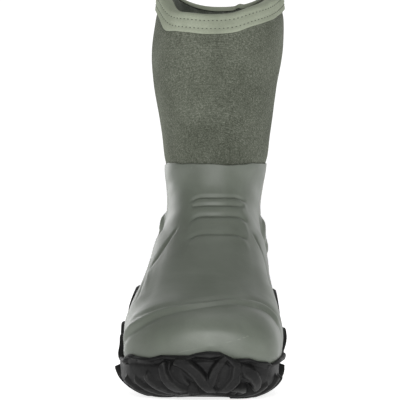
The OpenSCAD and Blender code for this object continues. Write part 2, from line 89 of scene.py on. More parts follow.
scene.view_settings.view_transform = "Standard"
area("key", (0.06, -1.8, 0.62), (0, -0.02, 0.16), 0.34, 16.5, size_y=0.7)
area("fill_left", (-0.95, 1.5, 0.45), (0, 0, 0.16), 0.5, 8.5, size_y=1.2)
area("fill_right", (0.95, 1.5, 0.45), (0, 0, 0.16), 0.5, 2.2, size_y=1.2)
area("top", (0.1, 0.15, 1.8), (0, 0, 0.2), 0.8, 5)

world = bpy.data.worlds.new("studio")
scene.world = world
world.use_nodes = True
bg = world.node_tree.nodes["Background"]
bg.inputs[0].default_value = (1, 1, 1, 1)
# a white sweep behind the boot, dimmer walls in front of it and overhead
wnt = world.node_tree
wc = wnt.nodes.new("ShaderNodeTexCoord")
wsep = wnt.nodes.new("ShaderNodeSeparateXYZ")
wnt.links.new(wc.outputs["Generated"], wsep.inputs[0])


def wrange(src, a, b, lo, hi):
    n = wnt.nodes.new("ShaderNodeMapRange")
    n.interpolation_type = "SMOOTHSTEP"
    for k, v in enumerate((a, b, lo, hi)):
        n.inputs[k + 1].default_value = v
    wnt.links.new(src, n.inputs[0])
    return n.outputs[0]


wm1 = wnt.nodes.new("ShaderNodeMath")
wm1.operation = "MULTIPLY"
wnt.links.new(wrange(wsep.outputs[1], 0.10, 0.85, 0.30, 1.10), wm1.inputs[0])
wnt.links.new(wrange(wsep.outputs[2], 0.12, 0.75, 1.0, 0.45), wm1.inputs[1])
wnt.links.new(wm1.outputs[0], bg.inputs[1])

# ------------------------------------------------------------------ materials


def node_mat(name):
    m = bpy.data.materials.new(name)
    m.use_nodes = True
    nt = m.node_tree
    for n in list(nt.nodes):
        nt.nodes.remove(n)
    out = nt.nodes.new("ShaderNodeOutputMaterial")
    b = nt.nodes.new("ShaderNodeBsdfPrincipled")
    nt.links.new(b.outputs[0], out.inputs[0])
    return m, nt, b


def lin(c):
    return tuple(((v / 255) / 12.92 if v / 255 <= 0.04045 else ((v / 255 + 0.055) / 1.055) ** 2.4) for v in c) + (1.0,)


def noise(nt, vec, scale, detail=4, rough=0.55, dist=0.0):
    n = nt.nodes.new("ShaderNodeTexNoise")
    n.inputs["Scale"].default_value = scale
    n.inputs["Detail"].default_value = detail
    n.inputs["Roughness"].default_value = rough
    n.inputs["Distortion"].default_value = dist
    nt.links.new(vec, n.inputs["Vector"])
    return n.outputs["Fac"]


def ramp(nt, fac, stops):
    r = nt.nodes.new("ShaderNodeValToRGB")
    e = r.color_ramp.elements
    while len(e) > 1:
        e.remove(e[-1])
    e[0].position, e[0].color = stops[0]
    for p, c in stops[1:]:
        k = e.new(p)
        k.color = c
    nt.links.new(fac, r.inputs[0])
    return r.outputs[0]


def maths(nt, op, a, b=None, clamp=False):
    n = nt.nodes.new("ShaderNodeMath")
    n.operation = op
    n.use_clamp = clamp
    for k, v in enumerate((a, b)):
        if v is None:
            continue
        if isinstance(v, (int, float)):
            n.inputs[k].default_value = v
        else:
            nt.links.new(v, n.inputs[k])
    return n.outputs[0]


def mix(nt, fac, a, b, mode="MIX"):
    n = nt.nodes.new("ShaderNodeMix")
    n.data_type = "RGBA"
    n.blend_type = mode
    for k, v in ((0, fac), (6, a), (7, b)):
        if isinstance(v, (int, float)):
            n.inputs[k].default_value = v
        elif isinstance(v, tuple):
            n.inputs[k].default_value = v
        else:
            nt.links.new(v, n.inputs[k])
    return n.outputs[2]


def bump(nt, height, strength, distance, normal=None):
    n = nt.nodes.new("ShaderNodeBump")
    n.inputs["Strength"].default_value = strength
    n.inputs["Distance"].default_value = distance
    nt.links.new(height, n.inputs["Height"])
    if normal is not None:
        nt.links.new(normal, n.inputs["Normal"])
    return n.outputs[0]


def coords(nt):
    a = nt.nodes.new("ShaderNodeAttribute")
    a.attribute_name = "rest"
    return a.outputs["Vector"]


def object_coords(nt):
    a = nt.nodes.new("ShaderNodeTexCoord")
    return a.outputs["Object"]


def grain_material(name, dark, mid, light, scale, rough=(0.6, 0.8), bump_scale=900, bump_mm=0.05, sheen=0.0, rest=True, big=14, spec=0.35, fibres=False, patch=0.10):
    """A generic body: large soft mottling, fine speckle, roughness change and a fine surface grain."""
    m, nt, b = node_mat(name)
    v = coords(nt) if rest else object_coords(nt)
    broad = noise(nt, v, big, 3, 0.5, 0.6)
    fine = noise(nt, v, scale, 6, 0.7)
    f = maths(nt, "ADD", maths(nt, "MULTIPLY", broad, 0.45), maths(nt, "MULTIPLY", fine, 0.55))
    col = ramp(nt, f, [(0.28, lin(dark)), (0.5, lin(mid)), (0.72, lin(light))])
    nt.links.new(col, b.inputs["Base Color"])
    r = nt.nodes.new("ShaderNodeMapRange")
    r.inputs[3].default_value, r.inputs[4].default_value = rough
    nt.links.new(noise(nt, v, big * 5, 4, 0.6), r.inputs[0])
    nt.links.new(r.outputs[0], b.inputs["Roughness"])
    b.inputs["Specular IOR Level"].default_value = spec
    n1 = bump(nt, noise(nt, v, bump_scale, 3, 0.6), 0.5, bump_mm * MM)
    n2 = bump(nt, noise(nt, v, bump_scale / 6, 3, 0.5), 0.35, bump_mm * 2.5 * MM, n1)
    nt.links.new(n2, b.inputs["Normal"])
    if sheen:
        b.inputs["Sheen Weight"].default_value = sheen
        b.inputs["Sheen Roughness"].default_value = 0.45
        b.inputs["Sheen Tint"].default_value = lin(light)
    return m, nt, b, v, col


def rubber_material():
    m, nt, b = node_mat("olive_rubber")
    v = coords(nt)
    broad = noise(nt, v, 9, 3, 0.55, 0.8)
    cloud = noise(nt, v, 42, 5, 0.6, 0.3)
    speck = noise(nt, v, 700, 3, 0.7)
    f = maths(nt, "ADD", maths(nt, "MULTIPLY", broad, 0.5), maths(nt, "MULTIPLY", cloud, 0.35))
    f = maths(nt, "ADD", f, maths(nt, "MULTIPLY", speck, 0.15))
    col = ramp(nt, f, [(0.30, lin((88, 93, 84))), (0.5, lin((97, 103, 93))), (0.70, lin((107, 113, 103)))])
    # fine chalky bloom in patches, and a scatter of pale scuffs
    bloom = ramp(nt, noise(nt, v, 18, 6, 0.72, 1.2), [(0.50, (0, 0, 0, 1)), (0.72, (1, 1, 1, 1))])
    col = mix(nt, maths(nt, "MULTIPLY", bloom, 0.22), col, lin((124, 130, 120)))
    pits = ramp(nt, noise(nt, v, 330, 2, 0.5), [(0.74, (0, 0, 0, 1)), (0.79, (1, 1, 1, 1))])
    col = mix(nt, maths(nt, "MULTIPLY", pits, 0.25), col, lin((140, 143, 134)))
    geo = nt.nodes.new("ShaderNodeNewGeometry")
    # painted highlight: convex crests, found by Pointiness, are lightened
    edge = ramp(nt, geo.outputs["Pointiness"], [(0.515, (0, 0, 0, 1)), (0.57, (1, 1, 1, 1))])
    col = mix(nt, maths(nt, "MULTIPLY", edge, 0.35), col, lin((134, 138, 129)))
    # painted shade: concave places, found by Pointiness, are darkened
    painted_crevice_shade = ramp(nt, geo.outputs["Pointiness"], [(0.43, (1, 1, 1, 1)), (0.49, (0, 0, 0, 1))])
    col = mix(nt, maths(nt, "MULTIPLY", painted_crevice_shade, 0.45), col, lin((70, 73, 65)))
    nt.links.new(col, b.inputs["Base Color"])
    r = nt.nodes.new("ShaderNodeMapRange")
    r.inputs[3].default_value, r.inputs[4].default_value = 0.40, 0.58
    nt.links.new(noise(nt, v, 55, 5, 0.65), r.inputs[0])
    nt.links.new(r.outputs[0], b.inputs["Roughness"])
    b.inputs["Specular IOR Level"].default_value = 0.5
    n1 = bump(nt, noise(nt, v, 1100, 2, 0.5), 0.35, 0.04 * MM)
    n2 = bump(nt, noise(nt, v, 160, 4, 0.6), 0.35, 0.14 * MM, n1)
    nt.links.new(n2, b.inputs["Normal"])
    return m


def black_rubber_material():
    m, nt, b = node_mat("black_rubber")
    v = coords(nt)
    f = maths(nt, "ADD", maths(nt, "MULTIPLY", noise(nt, v, 24, 4, 0.6, 0.5), 0.5), maths(nt, "MULTIPLY", noise(nt, v, 420, 5, 0.75), 0.5))
    col = ramp(nt, f, [(0.32, lin((8, 8, 8))), (0.52, lin((16, 16, 16))), (0.72, lin((30, 30, 30)))])
    geo = nt.nodes.new("ShaderNodeNewGeometry")
    # convex crests, found by Pointiness, are lightened in patches: partly rubbed dust, partly painted highlight
    edge = ramp(nt, geo.outputs["Pointiness"], [(0.52, (0, 0, 0, 1)), (0.62, (1, 1, 1, 1))])
    dust_and_painted_highlight = maths(nt, "MULTIPLY", edge, ramp(nt, noise(nt, v, 300, 6, 0.8), [(0.35, (0, 0, 0, 1)), (0.62, (1, 1, 1, 1))]))
    col = mix(nt, maths(nt, "MULTIPLY", dust_and_painted_highlight, 0.95), col, lin((84, 84, 82)))
    fleck = ramp(nt, noise(nt, v, 520, 2, 0.5), [(0.70, (0, 0, 0, 1)), (0.78, (1, 1, 1, 1))])
    col = mix(nt, maths(nt, "MULTIPLY", fleck, 0.35), col, lin((84, 84, 82)))
    nt.links.new(col, b.inputs["Base Color"])
    r = nt.nodes.new("ShaderNodeMapRange")
    r.inputs[3].default_value, r.inputs[4].default_value = 0.45, 0.75
    nt.links.new(noise(nt, v, 90, 5, 0.7), r.inputs[0])
    nt.links.new(r.outputs[0], b.inputs["Roughness"])
    b.inputs["Specular IOR Level"].default_value = 0.24
    n1 = bump(nt, noise(nt, v, 900, 3, 0.6), 0.5, 0.06 * MM)
    n2 = bump(nt, noise(nt, v, 180, 5, 0.65), 0.5, 0.25 * MM, n1)
    nt.links.new(n2, b.inputs["Normal"])
    return m


def uv_waves(nt, ua, va, nu, nv):
    """Phases across and along a knit's columns and courses, from the surface's own running lengths; the loops and their
    half-step are built by the caller.
    """
    a = nt.nodes.new("ShaderNodeAttribute")
    a.attribute_name = "run"
    s = nt.nodes.new("ShaderNodeSeparateXYZ")
    nt.links.new(a.outputs["Vector"], s.inputs[0])
    x = maths(nt, "MULTIPLY", s.outputs[ua], nu)
    y = maths(nt, "MULTIPLY", s.outputs[va], nv)
    return x, y


def knit_material(name, dark, mid, light, wale, course, contrast=1.0, sheen=0.5, heather=0.55, bump_mm=0.16):
    m, nt, b = node_mat(name)
    v = coords(nt)
    x, y = uv_waves(nt, 0, 1, 2 * math.pi / wale, 2 * math.pi / course)
    wob = maths(nt, "MULTIPLY", noise(nt, v, 260, 2, 0.5), 2.2)
    sx = maths(nt, "SINE", maths(nt, "ADD", x, wob))
    sy = maths(nt, "SINE", maths(nt, "ADD", maths(nt, "ADD", y, maths(nt, "MULTIPLY", maths(nt, "ABSOLUTE", sx), 2.2)), wob))
    loop = maths(nt, "ADD", maths(nt, "MULTIPLY", maths(nt, "MULTIPLY", sx, sx), 0.6), maths(nt, "MULTIPLY", sy, 0.4))
    fine = noise(nt, v, 1500, 3, 0.8)
    med = noise(nt, v, 620, 4, 0.75)
    broad = noise(nt, v, 26, 3, 0.5, 0.3)
    f = maths(nt, "ADD", maths(nt, "MULTIPLY", fine, heather * 0.55), maths(nt, "MULTIPLY", med, heather * 0.45))
    f = maths(nt, "ADD", f, maths(nt, "MULTIPLY", broad, 1 - heather))
    f = maths(nt, "ADD", f, maths(nt, "MULTIPLY", loop, 0.03 * contrast))
    col = ramp(nt, f, [(0.34, lin(dark)), (0.5, lin(mid)), (0.64, lin(light))])
    nt.links.new(col, b.inputs["Base Color"])
    b.inputs["Roughness"].default_value = 0.92
    b.inputs["Specular IOR Level"].default_value = 0.12
    b.inputs["Sheen Weight"].default_value = sheen
    b.inputs["Sheen Roughness"].default_value = 0.5
    b.inputs["Sheen Tint"].default_value = lin(light)
    n1 = bump(nt, loop, 0.7, bump_mm * MM)
    n2 = bump(nt, fine, 0.5, 0.10 * MM, n1)
    n3 = bump(nt, noise(nt, v, 46, 3, 0.5), 0.3, 0.5 * MM, n2)
    nt.links.new(n3, b.inputs["Normal"])
    return m


MAT = {}
MAT["rubber"] = rubber_material()
MAT["black"] = black_rubber_material()
MAT["knit"] = knit_material("shaft_knit", (42, 45, 36), (84, 88, 77), (130, 134, 122), 0.00115, 0.0013, sheen=0.35, heather=0.84, contrast=2.0, bump_mm=0.22)
MAT["binding"] = knit_material("binding_tape", (126, 132, 116), (144, 150, 133), (160, 166, 149), 0.0010, 0.0008, contrast=0.6, sheen=0.25, heather=0.45, bump_mm=0.08)
MAT["tape"] = knit_material("seam_tape", (60, 63, 55), (76, 80, 70), (94, 97, 87), 0.0008, 0.0008, sheen=0.3, bump_mm=0.08)
MAT["fleece"] = grain_material("fleece_lining", (56, 59, 53), (88, 92, 84), (130, 134, 126), 900, (0.9, 1.0), 1400, 0.35, sheen=0.9, spec=0.08, big=60)[0]
MAT["foam"] = grain_material("neoprene_foam", (24, 24, 24), (34, 34, 35), (48, 48, 49), 1300, (0.8, 0.95), 1500, 0.12, spec=0.2, big=30)[0]
MAT["thread"] = grain_material("thread", (66, 69, 60), (84, 88, 77), (102, 106, 94), 2600, (0.7, 0.85), 3000, 0.05, sheen=0.2, spec=0.25)[0]
MAT["eva"] = grain_material("eva_foam", (44, 46, 48), (56, 58, 60), (70, 72, 74), 1500, (0.75, 0.9), 1600, 0.10, rest=False, spec=0.25, big=20)[0]
MAT["footbed_foam"] = grain_material("footbed_eva", (38, 40, 38), (50, 52, 49), (66, 68, 64), 1500, (0.75, 0.9), 1600, 0.10, spec=0.25, big=20)[0]
MAT["footbed_cover"] = grain_material("footbed_cover_fleece", (52, 54, 47), (74, 76, 67), (98, 101, 90), 1100, (0.9, 1.0), 1600, 0.30, sheen=0.8, spec=0.08, big=40)[0]
MAT["board"] = grain_material("fibre_board", (134, 108, 74), (158, 130, 92), (182, 155, 116), 1200, (0.75, 0.9), 1100, 0.08, rest=False, spec=0.25, big=60)[0]
MAT["felt"] = grain_material("felt", (138, 138, 136), (166, 166, 163), (192, 192, 188), 1700, (0.9, 1.0), 1500, 0.25, rest=False, sheen=0.4, spec=0.1, big=50)[0]


def steel_material():
    m, nt, b = node_mat("steel")
    v = object_coords(nt)
    mp = nt.nodes.new("ShaderNodeMapping")
    mp.inputs["Scale"].default_value = (60, 2.0, 60)
    nt.links.new(v, mp.inputs[0])
    f = noise(nt, mp.outputs[0], 22, 6, 0.7)
    nt.links.new(ramp(nt, f, [(0.3, lin((132, 134, 138))), (0.7, lin((186, 188, 191)))]), b.inputs["Base Color"])
    b.inputs["Metallic"].default_value = 1.0
    b.inputs["Roughness"].default_value = 0.36
    nt.links.new(bump(nt, f, 0.3, 0.05 * MM), b.inputs["Normal"])
    return m


MAT["steel"] = steel_material()

# floor
fm, fnt, fb = node_mat("floor_paper")
fv = object_coords(fnt)
fnt.links.new(ramp(fnt, noise(fnt, fv, 3, 3, 0.5), [(0.3, (0.86, 0.86, 0.86, 1)), (0.7, (0.89, 0.89, 0.89, 1))]), fb.inputs["Base Color"])
fb.inputs["Roughness"].default_value = 0.95
fb.inputs["Emission Color"].default_value = (1, 1, 1, 1)
fb.inputs["Emission Strength"].default_value = 0.80
fb.inputs["Specular IOR Level"].default_value = 0.05
fmesh = bpy.data.meshes.new("floor")
fmesh.from_pydata([(-40, -40, 0), (40, -40, 0), (40, 60, 0), (-40, 60, 0)], [], [(0, 1, 2, 3)])
floor = bpy.data.objects.new("floor", fmesh)
scene.collection.objects.link(floor)
fmesh.materials.append(fm)

# ------------------------------------------------------------------ the boot's surface
ST = np.array([
    [-154.0, 41, -154.0, 41, 0.0, 0.0, 0.45, 2.1, 2.2, 8.0],
    [-150.6, 53, -151.0, 31, 26.0, 26.0, 0.42, 2.2, 2.6, 8.0],
    [-142.0, 63, -143.0, 23, 42.4, 40.7, 0.37, 2.3, 3.2, 7.5],
    [-128.0, 70, -130.0, 19, 53.7, 49.5, 0.37, 2.4, 3.2, 6.5],
    [-110.0, 75, -112.0, 17, 61.8, 54.0, 0.36, 2.4, 3.1, 5.0],
    [-88.0, 81, -90.0, 17, 60.6, 57.5, 0.36, 2.35, 3.1, 3.5],
    [-65.0, 90, -66.0, 17, 59.1, 56.8, 0.38, 2.3, 3.1, 3.5],
    [-43.0, 102, -40.0, 19, 56.9, 53.7, 0.39, 2.3, 3.1, 4.0],
    [-22.0, 117, -4.0, 22, 53.0, 48.9, 0.40, 2.3, 3.1, 5.0],
    [-5.0, 133, 42.0, 25, 49.6, 44.6, 0.44, 2.3, 3.1, 6.0],
    [3.0, 144, 96.0, 27, 48.1, 42.7, 0.47, 2.35, 3.1, 7.0],
    [6.5, 151, 137.0, 35, 44.8, 40.5, 0.50, 2.4, 3.0, 7.0],
    [9.0, 157, 150.0, 60, 41.5, 38.2, 0.50, 2.5, 2.8, 7.0],
    [10.5, 163, 148.0, 92, 39.1, 37.7, 0.50, 2.5, 2.5, 7.0],
    [11.5, 169, 140.0, 123, 38.5, 37.4, 0.50, 2.5, 2.3, 7.0],
    [12.0, 175, 135.0, 152, 39.6, 40.2, 0.50, 2.6, 2.3, 7.0],
    [12.0, 184, 133.5, 184, 40.6, 42.0, 0.50, 2.6, 2.3, 7.5],
    [10.0, 212, 136.0, 212, 45.4, 45.8, 0.50, 2.6, 2.3, 8.0],
    [5.0, 240, 141.0, 240, 51.2, 48.7, 0.50, 2.6, 2.3, 9.0],
    [0.0, 268, 145.5, 268, 53.9, 52.4, 0.50, 2.6, 2.3, 10.0],
    [-2.0, 296, 147.5, 296, 50.6, 52.4, 0.50, 2.6, 2.3, 10.5],
    [-2.0, 324, 147.5, 324, 48.1, 49.9, 0.50, 2.6, 2.3, 10.5]])
STX = np.vstack([2 * ST[0] - ST[1], ST, 2 * ST[-1] - ST[-2]])
NST = len(ST)
POLE = np.array([8.0, -154.0, 41.0])


def station(s):
    s = np.clip(np.asarray(s, float), 0, NST - 1 - 1e-6)
    i = np.floor(s).astype(int)
    u = (s - i)[..., None]
    p0, p1, p2, p3 = STX[i], STX[i + 1], STX[i + 2], STX[i + 3]
    return 0.5 * (2 * p1 + (p2 - p0) * u + (2 * p0 - 5 * p1 + 4 * p2 - p3) * u * u + (3 * p1 - p0 - 3 * p2 + p3) * u ** 3)


def pt(s, t, o=0.0):
    s, t, o = np.broadcast_arrays(np.asarray(s, float), np.asarray(t, float), np.asarray(o, float))
    q = station(s)
    nose = np.clip(1 - s / 6, 0, 1) ** 1.3
    dy = o * nose
    a = q[..., 0] - q[..., 2]
    b = q[..., 1] - q[..., 3]
    H0 = np.hypot(a, b)
    ok = H0 > 1e-6
    ux = np.where(ok, a / np.where(ok, H0, 1), 0)
    uz = np.where(ok, b / np.where(ok, H0, 1), 1)
    ov = o * np.minimum(1, H0 / 50)
    ol = o * np.minimum(1, q[..., 4] / 45)
    om = o * np.minimum(1, q[..., 5] / 45)
    H = H0 - 2 * ov
    vw = q[..., 6] * H
    c = np.cos(np.radians(t))
    n = np.sin(np.radians(t))
    e = 2 / np.where(n >= 0, q[..., 7], q[..., 8])
    x = q[..., 9] + np.where(c >= 0, q[..., 5] - om, q[..., 4] - ol) * np.sign(c) * np.abs(c) ** e
    v = ov + vw + np.where(n >= 0, H - vw, vw) * np.sign(n) * np.abs(n) ** e
    return np.stack([x, q[..., 2] + ux * v + dy, q[..., 3] + uz * v], -1)


def cut(t, o, ny, nz, d, lo, hi, k=24):
    t, o, d = np.broadcast_arrays(np.asarray(t, float), np.asarray(o, float), np.asarray(d, float))
    lo = np.full(t.shape, float(lo))
    hi = np.full(t.shape, float(hi))
    for _ in range(k):
        m = (lo + hi) / 2
        p = pt(m, t, o)
        below = ny * p[..., 1] + nz * p[..., 2] < d
        lo = np.where(below, m, lo)
        hi = np.where(below, hi, m)
    return (lo + hi) / 2


RIM_Z, RIM_LIFT, RIM_BACK = 291.5, 20.2, 14.8
SHELL_TOP = 175.0


def rim_at(t):
    t = np.mod(t, 360)
    z = RIM_Z + RIM_LIFT * np.cos(np.radians(t)) ** 2 + RIM_BACK * ((1 - np.sin(np.radians(t))) / 2) ** 2
    # the lateral front corner hangs lower before it turns up, and the back has a small thick spot
    z = z - 4.0 * np.exp(-((t - 131) / 17.0) ** 2) + 2.4 * np.exp(-((t - 64) / 16.0) ** 2)
    return z + 1.3 * np.exp(-((t - 287) / 3.2) ** 2)


def s_rim(t, o, below=0.0):
    return cut(t, o, 0, 1, rim_at(t) - below, 15, 20.98)


def s_height(t, o, z):
    return cut(t, o, 0, 1, z, 12, 19)


# ------------------------------------------------------------------ small helpers
_tab = np.random.default_rng(11).random(8192)


def vnoise(P, scale, seed=0):
    """Smooth value noise of points, scale in mm per cell; 0..1."""
    q = np.asarray(P, float) / scale + 1000.0 + seed * 17.31
    i = np.floor(q).astype(np.int64)
    f = q - i
    f = f * f * (3 - 2 * f)
    r = 0.0
    for a in (0, 1):
        for b in (0, 1):
            for c in (0, 1):
                h = ((i[..., 0] + a) * 73856093) ^ ((i[..., 1] + b) * 19349663) ^ ((i[..., 2] + c) * 83492791)
                w = (f[..., 0] if a else 1 - f[..., 0]) * (f[..., 1] if b else 1 - f[..., 1]) * (f[..., 2] if c else 1 - f[..., 2])
                r = r + w * _tab[(h + seed * 977) % 8192]
    return r


def smooth(x, a=0.0, b=1.0):
    u = np.clip((np.asarray(x, float) - a) / (b - a), 0, 1)
    return u * u * (3 - 2 * u)


def make(name, V, faces, mat, run=None, smooth_shade=True):
    """A mesh object from points in mm and a list of quad or triangle index arrays."""
    me = bpy.data.meshes.new(name)
    V = np.asarray(V, float) * MM
    vol = 0.0
    for F in faces:
        F = np.asarray(F, np.int64)
        if len(F):
            for k in range(1, F.shape[1] - 1):
                vol += np.einsum("ij,ij->i", V[F[:, 0]], np.cross(V[F[:, k]], V[F[:, k + 1]])).sum()
    if vol < 0:
        faces = [np.asarray(F)[:, ::-1] for F in faces if len(F)]
    me.vertices.add(len(V))
    me.vertices.foreach_set("co", V.astype(np.float32).ravel())
    loops = []
    starts = []
    totals = []
    n = 0
    for F in faces:
        F = np.asarray(F, np.int64)
        if not len(F):
            continue
        k = F.shape[1]
        loops.append(F.ravel())
        starts.append(n + np.arange(len(F)) * k)
        totals.append(np.full(len(F), k))
        n += F.size
    loops = np.concatenate(loops).astype(np.int32)
    me.loops.add(len(loops))
    me.loops.foreach_set("vertex_index", loops)
    me.polygons.add(sum(len(s) for s in starts))
    me.polygons.foreach_set("loop_start", np.concatenate(starts).astype(np.int32))
    me.polygons.foreach_set("loop_total", np.concatenate(totals).astype(np.int32))
    me.update(calc_edges=True)
    me.validate()
    me.polygons.foreach_set("use_smooth", np.full(len(me.polygons), smooth_shade))
    at = me.attributes.new("rest", "FLOAT_VECTOR", "POINT")
    at.data.foreach_set("vector", V.astype(np.float32).ravel())
    if run is not None:
        ar = me.attributes.new("run", "FLOAT_VECTOR", "POINT")
        R = np.zeros((len(V), 3), np.float32)
        R[:, :2] = np.asarray(run)[:, :2] * MM
        ar.data.foreach_set("vector", R.ravel())
    me.materials.append(mat)
    o = bpy.data.objects.new(name, me)
    scene.collection.objects.link(o)
    return o


def runs(G):
    """Running lengths across and along a grid of points [row][column]."""
    a = np.linalg.norm(np.diff(G, axis=1), axis=-1)
    a = np.concatenate([np.zeros((G.shape[0], 1)), np.cumsum(a, 1)], 1)
    b = np.linalg.norm(np.diff(G, axis=0), axis=-1).mean(1)
    b = np.concatenate([[0], np.cumsum(b)])
    return np.stack([a, np.repeat(b[:, None], G.shape[1], 1)], -1).reshape(-1, 2)


def wrap_faces(nr, nc, base=0, closed_rows=False):
    i = np.arange(nr if closed_rows else nr - 1)[:, None]
    j = np.arange(nc)[None, :]
    a = base + i * nc + j
    b = base + i * nc + (j + 1) % nc
    c = base + ((i + 1) % nr) * nc + (j + 1) % nc
    d = base + ((i + 1) % nr) * nc + j
    return np.stack([a, b, c, d], -1).reshape(-1, 4)


def pod(name, G, p0, p1, mat, flip=False, run=None):
    """Closed skin: a wrapped grid with a pole point before its first row and another after its last."""
    nr, nc = G.shape[:2]
    V = np.concatenate([G.reshape(-1, 3), [p0, p1]])
    j = np.arange(nc)
    q = wrap_faces(nr, nc)
    a = np.stack([np.full(nc, nr * nc), (j + 1) % nc, j], -1)
    b = np.stack([np.full(nc, nr * nc + 1), (nr - 1) * nc + j, (nr - 1) * nc + (j + 1) % nc], -1)
    if flip:
        q, a, b = q[:, ::-1], a[:, ::-1], b[:, ::-1]
    if run is not None:
        run = np.concatenate([run, [[0, 0], [0, 0]]])
    return make(name, V, [q, a, b], mat, run)


def ring(name, G, mat, flip=False, run=None):
    """Closed tube: a grid that wraps both ways."""
    nr, nc = G.shape[:2]
    q = wrap_faces(nr, nc, 0, True)
    if flip:
        q = q[:, ::-1]
    return make(name, G.reshape(-1, 3), [q], mat, run)


def seg_dist(P, poly, rad=None):
    """Least distance of points to a polyline, and the place along it (0..1)."""
    poly = np.asarray(poly, float)
    best = np.full(P.shape[:-1], 1e9)
    along = np.zeros(P.shape[:-1])
    n = len(poly) - 1
    for k in range(n):
        a, b = poly[k], poly[k + 1]
        d = b - a
        L = (d * d).sum()
        u = np.clip(((P - a) @ d) / L, 0, 1)
        q = a + u[..., None] * d
        r = np.linalg.norm(P - q, axis=-1)
        if rad is not None:
            r = r / (rad[k] + (rad[k + 1] - rad[k]) * u)
        m = r < best
        best = np.where(m, r, best)
        along = np.where(m, (k + u) / n, along)
    return best, along


def curve(pts, n=40):
    """Smooth open curve through the points."""
    p = np.asarray(pts, float)
    p = np.vstack([2 * p[0] - p[1], p, 2 * p[-1] - p[-2]])
    out = []
    m = len(p) - 3
    for x in np.linspace(0, m - 1e-6, n):
        i = int(x)
        u = x - i
        a, b, c, d = p[i:i + 4]
        out.append(0.5 * (2 * b + (c - a) * u + (2 * a - 5 * b + 4 * c - d) * u * u + (3 * b - a - 3 * c + d) * u ** 3))
    return np.array(out)


# ------------------------------------------------------------------ rubber boot
NCOL = 400
TT = 90 + 360 * np.arange(NCOL) / NCOL


def arch(xc, hw, z0, drop, p, n=48):
    x = np.linspace(-1, 1, n)
    return np.stack([xc + hw * x, z0 - drop * np.abs(x) ** p], -1)


BARS = [  # middle x, half width, height of the groove's middle, droop of the ends, squareness, depth, half thickness
    (11.0, 22.5, 149.8, 6.0, 6, 1.15, 1.3),
    (11.0, 21.5, 143.3, 1.8, 4, 0.9, 1.2),
    (11.5, 23.0, 135.4, 8.0, 7, 1.45, 1.45),
    (11.0, 23.5, 121.8, 6.5, 5, 1.3, 1.45)]
QL = curve([(-20, -1.8, 127), (-25.6, -6.8, 118.3), (-30.2, -11.3, 110.6), (-34.9, -17.7, 102), (-38.5, -26, 92), (-40.5, -38, 82)])
QL2 = curve([(-38.2, -4.2, 101.6), (-41.1, -13.8, 93.2), (-43.2, -35.4, 85.2), (-45.1, -48.7, 79), (-46.9, -61.4, 72.8), (-48.5, -76, 66)])
QR = curve([(37.8, 5.7, 122), (41.8, 2.5, 112.3), (45.7, -1.4, 101.6), (48, -10.3, 93.2), (49.6, -26.3, 85.9), (50.6, -44, 78)])
RIDGE = curve([(-57.5, -92, 40), (-55, -108, 47), (-49.8, -117.5, 54.6), (-44.4, -122, 57.8), (-35, -125.9, 62.6), (-25.7, -127.6, 65.5), (-16.6, -128.4, 67.6), (-4.5, -127.5, 69.5),
               (3.9, -125, 70.9), (13.6, -121.2, 72), (23.8, -115.2, 72.5), (33.7, -110.8, 71.2), (43.9, -101.2, 68.9), (50.6, -96.3, 65), (55.1, -93.7, 60.3), (58.1, -90.8, 55.7), (61, -84, 46)], 90)


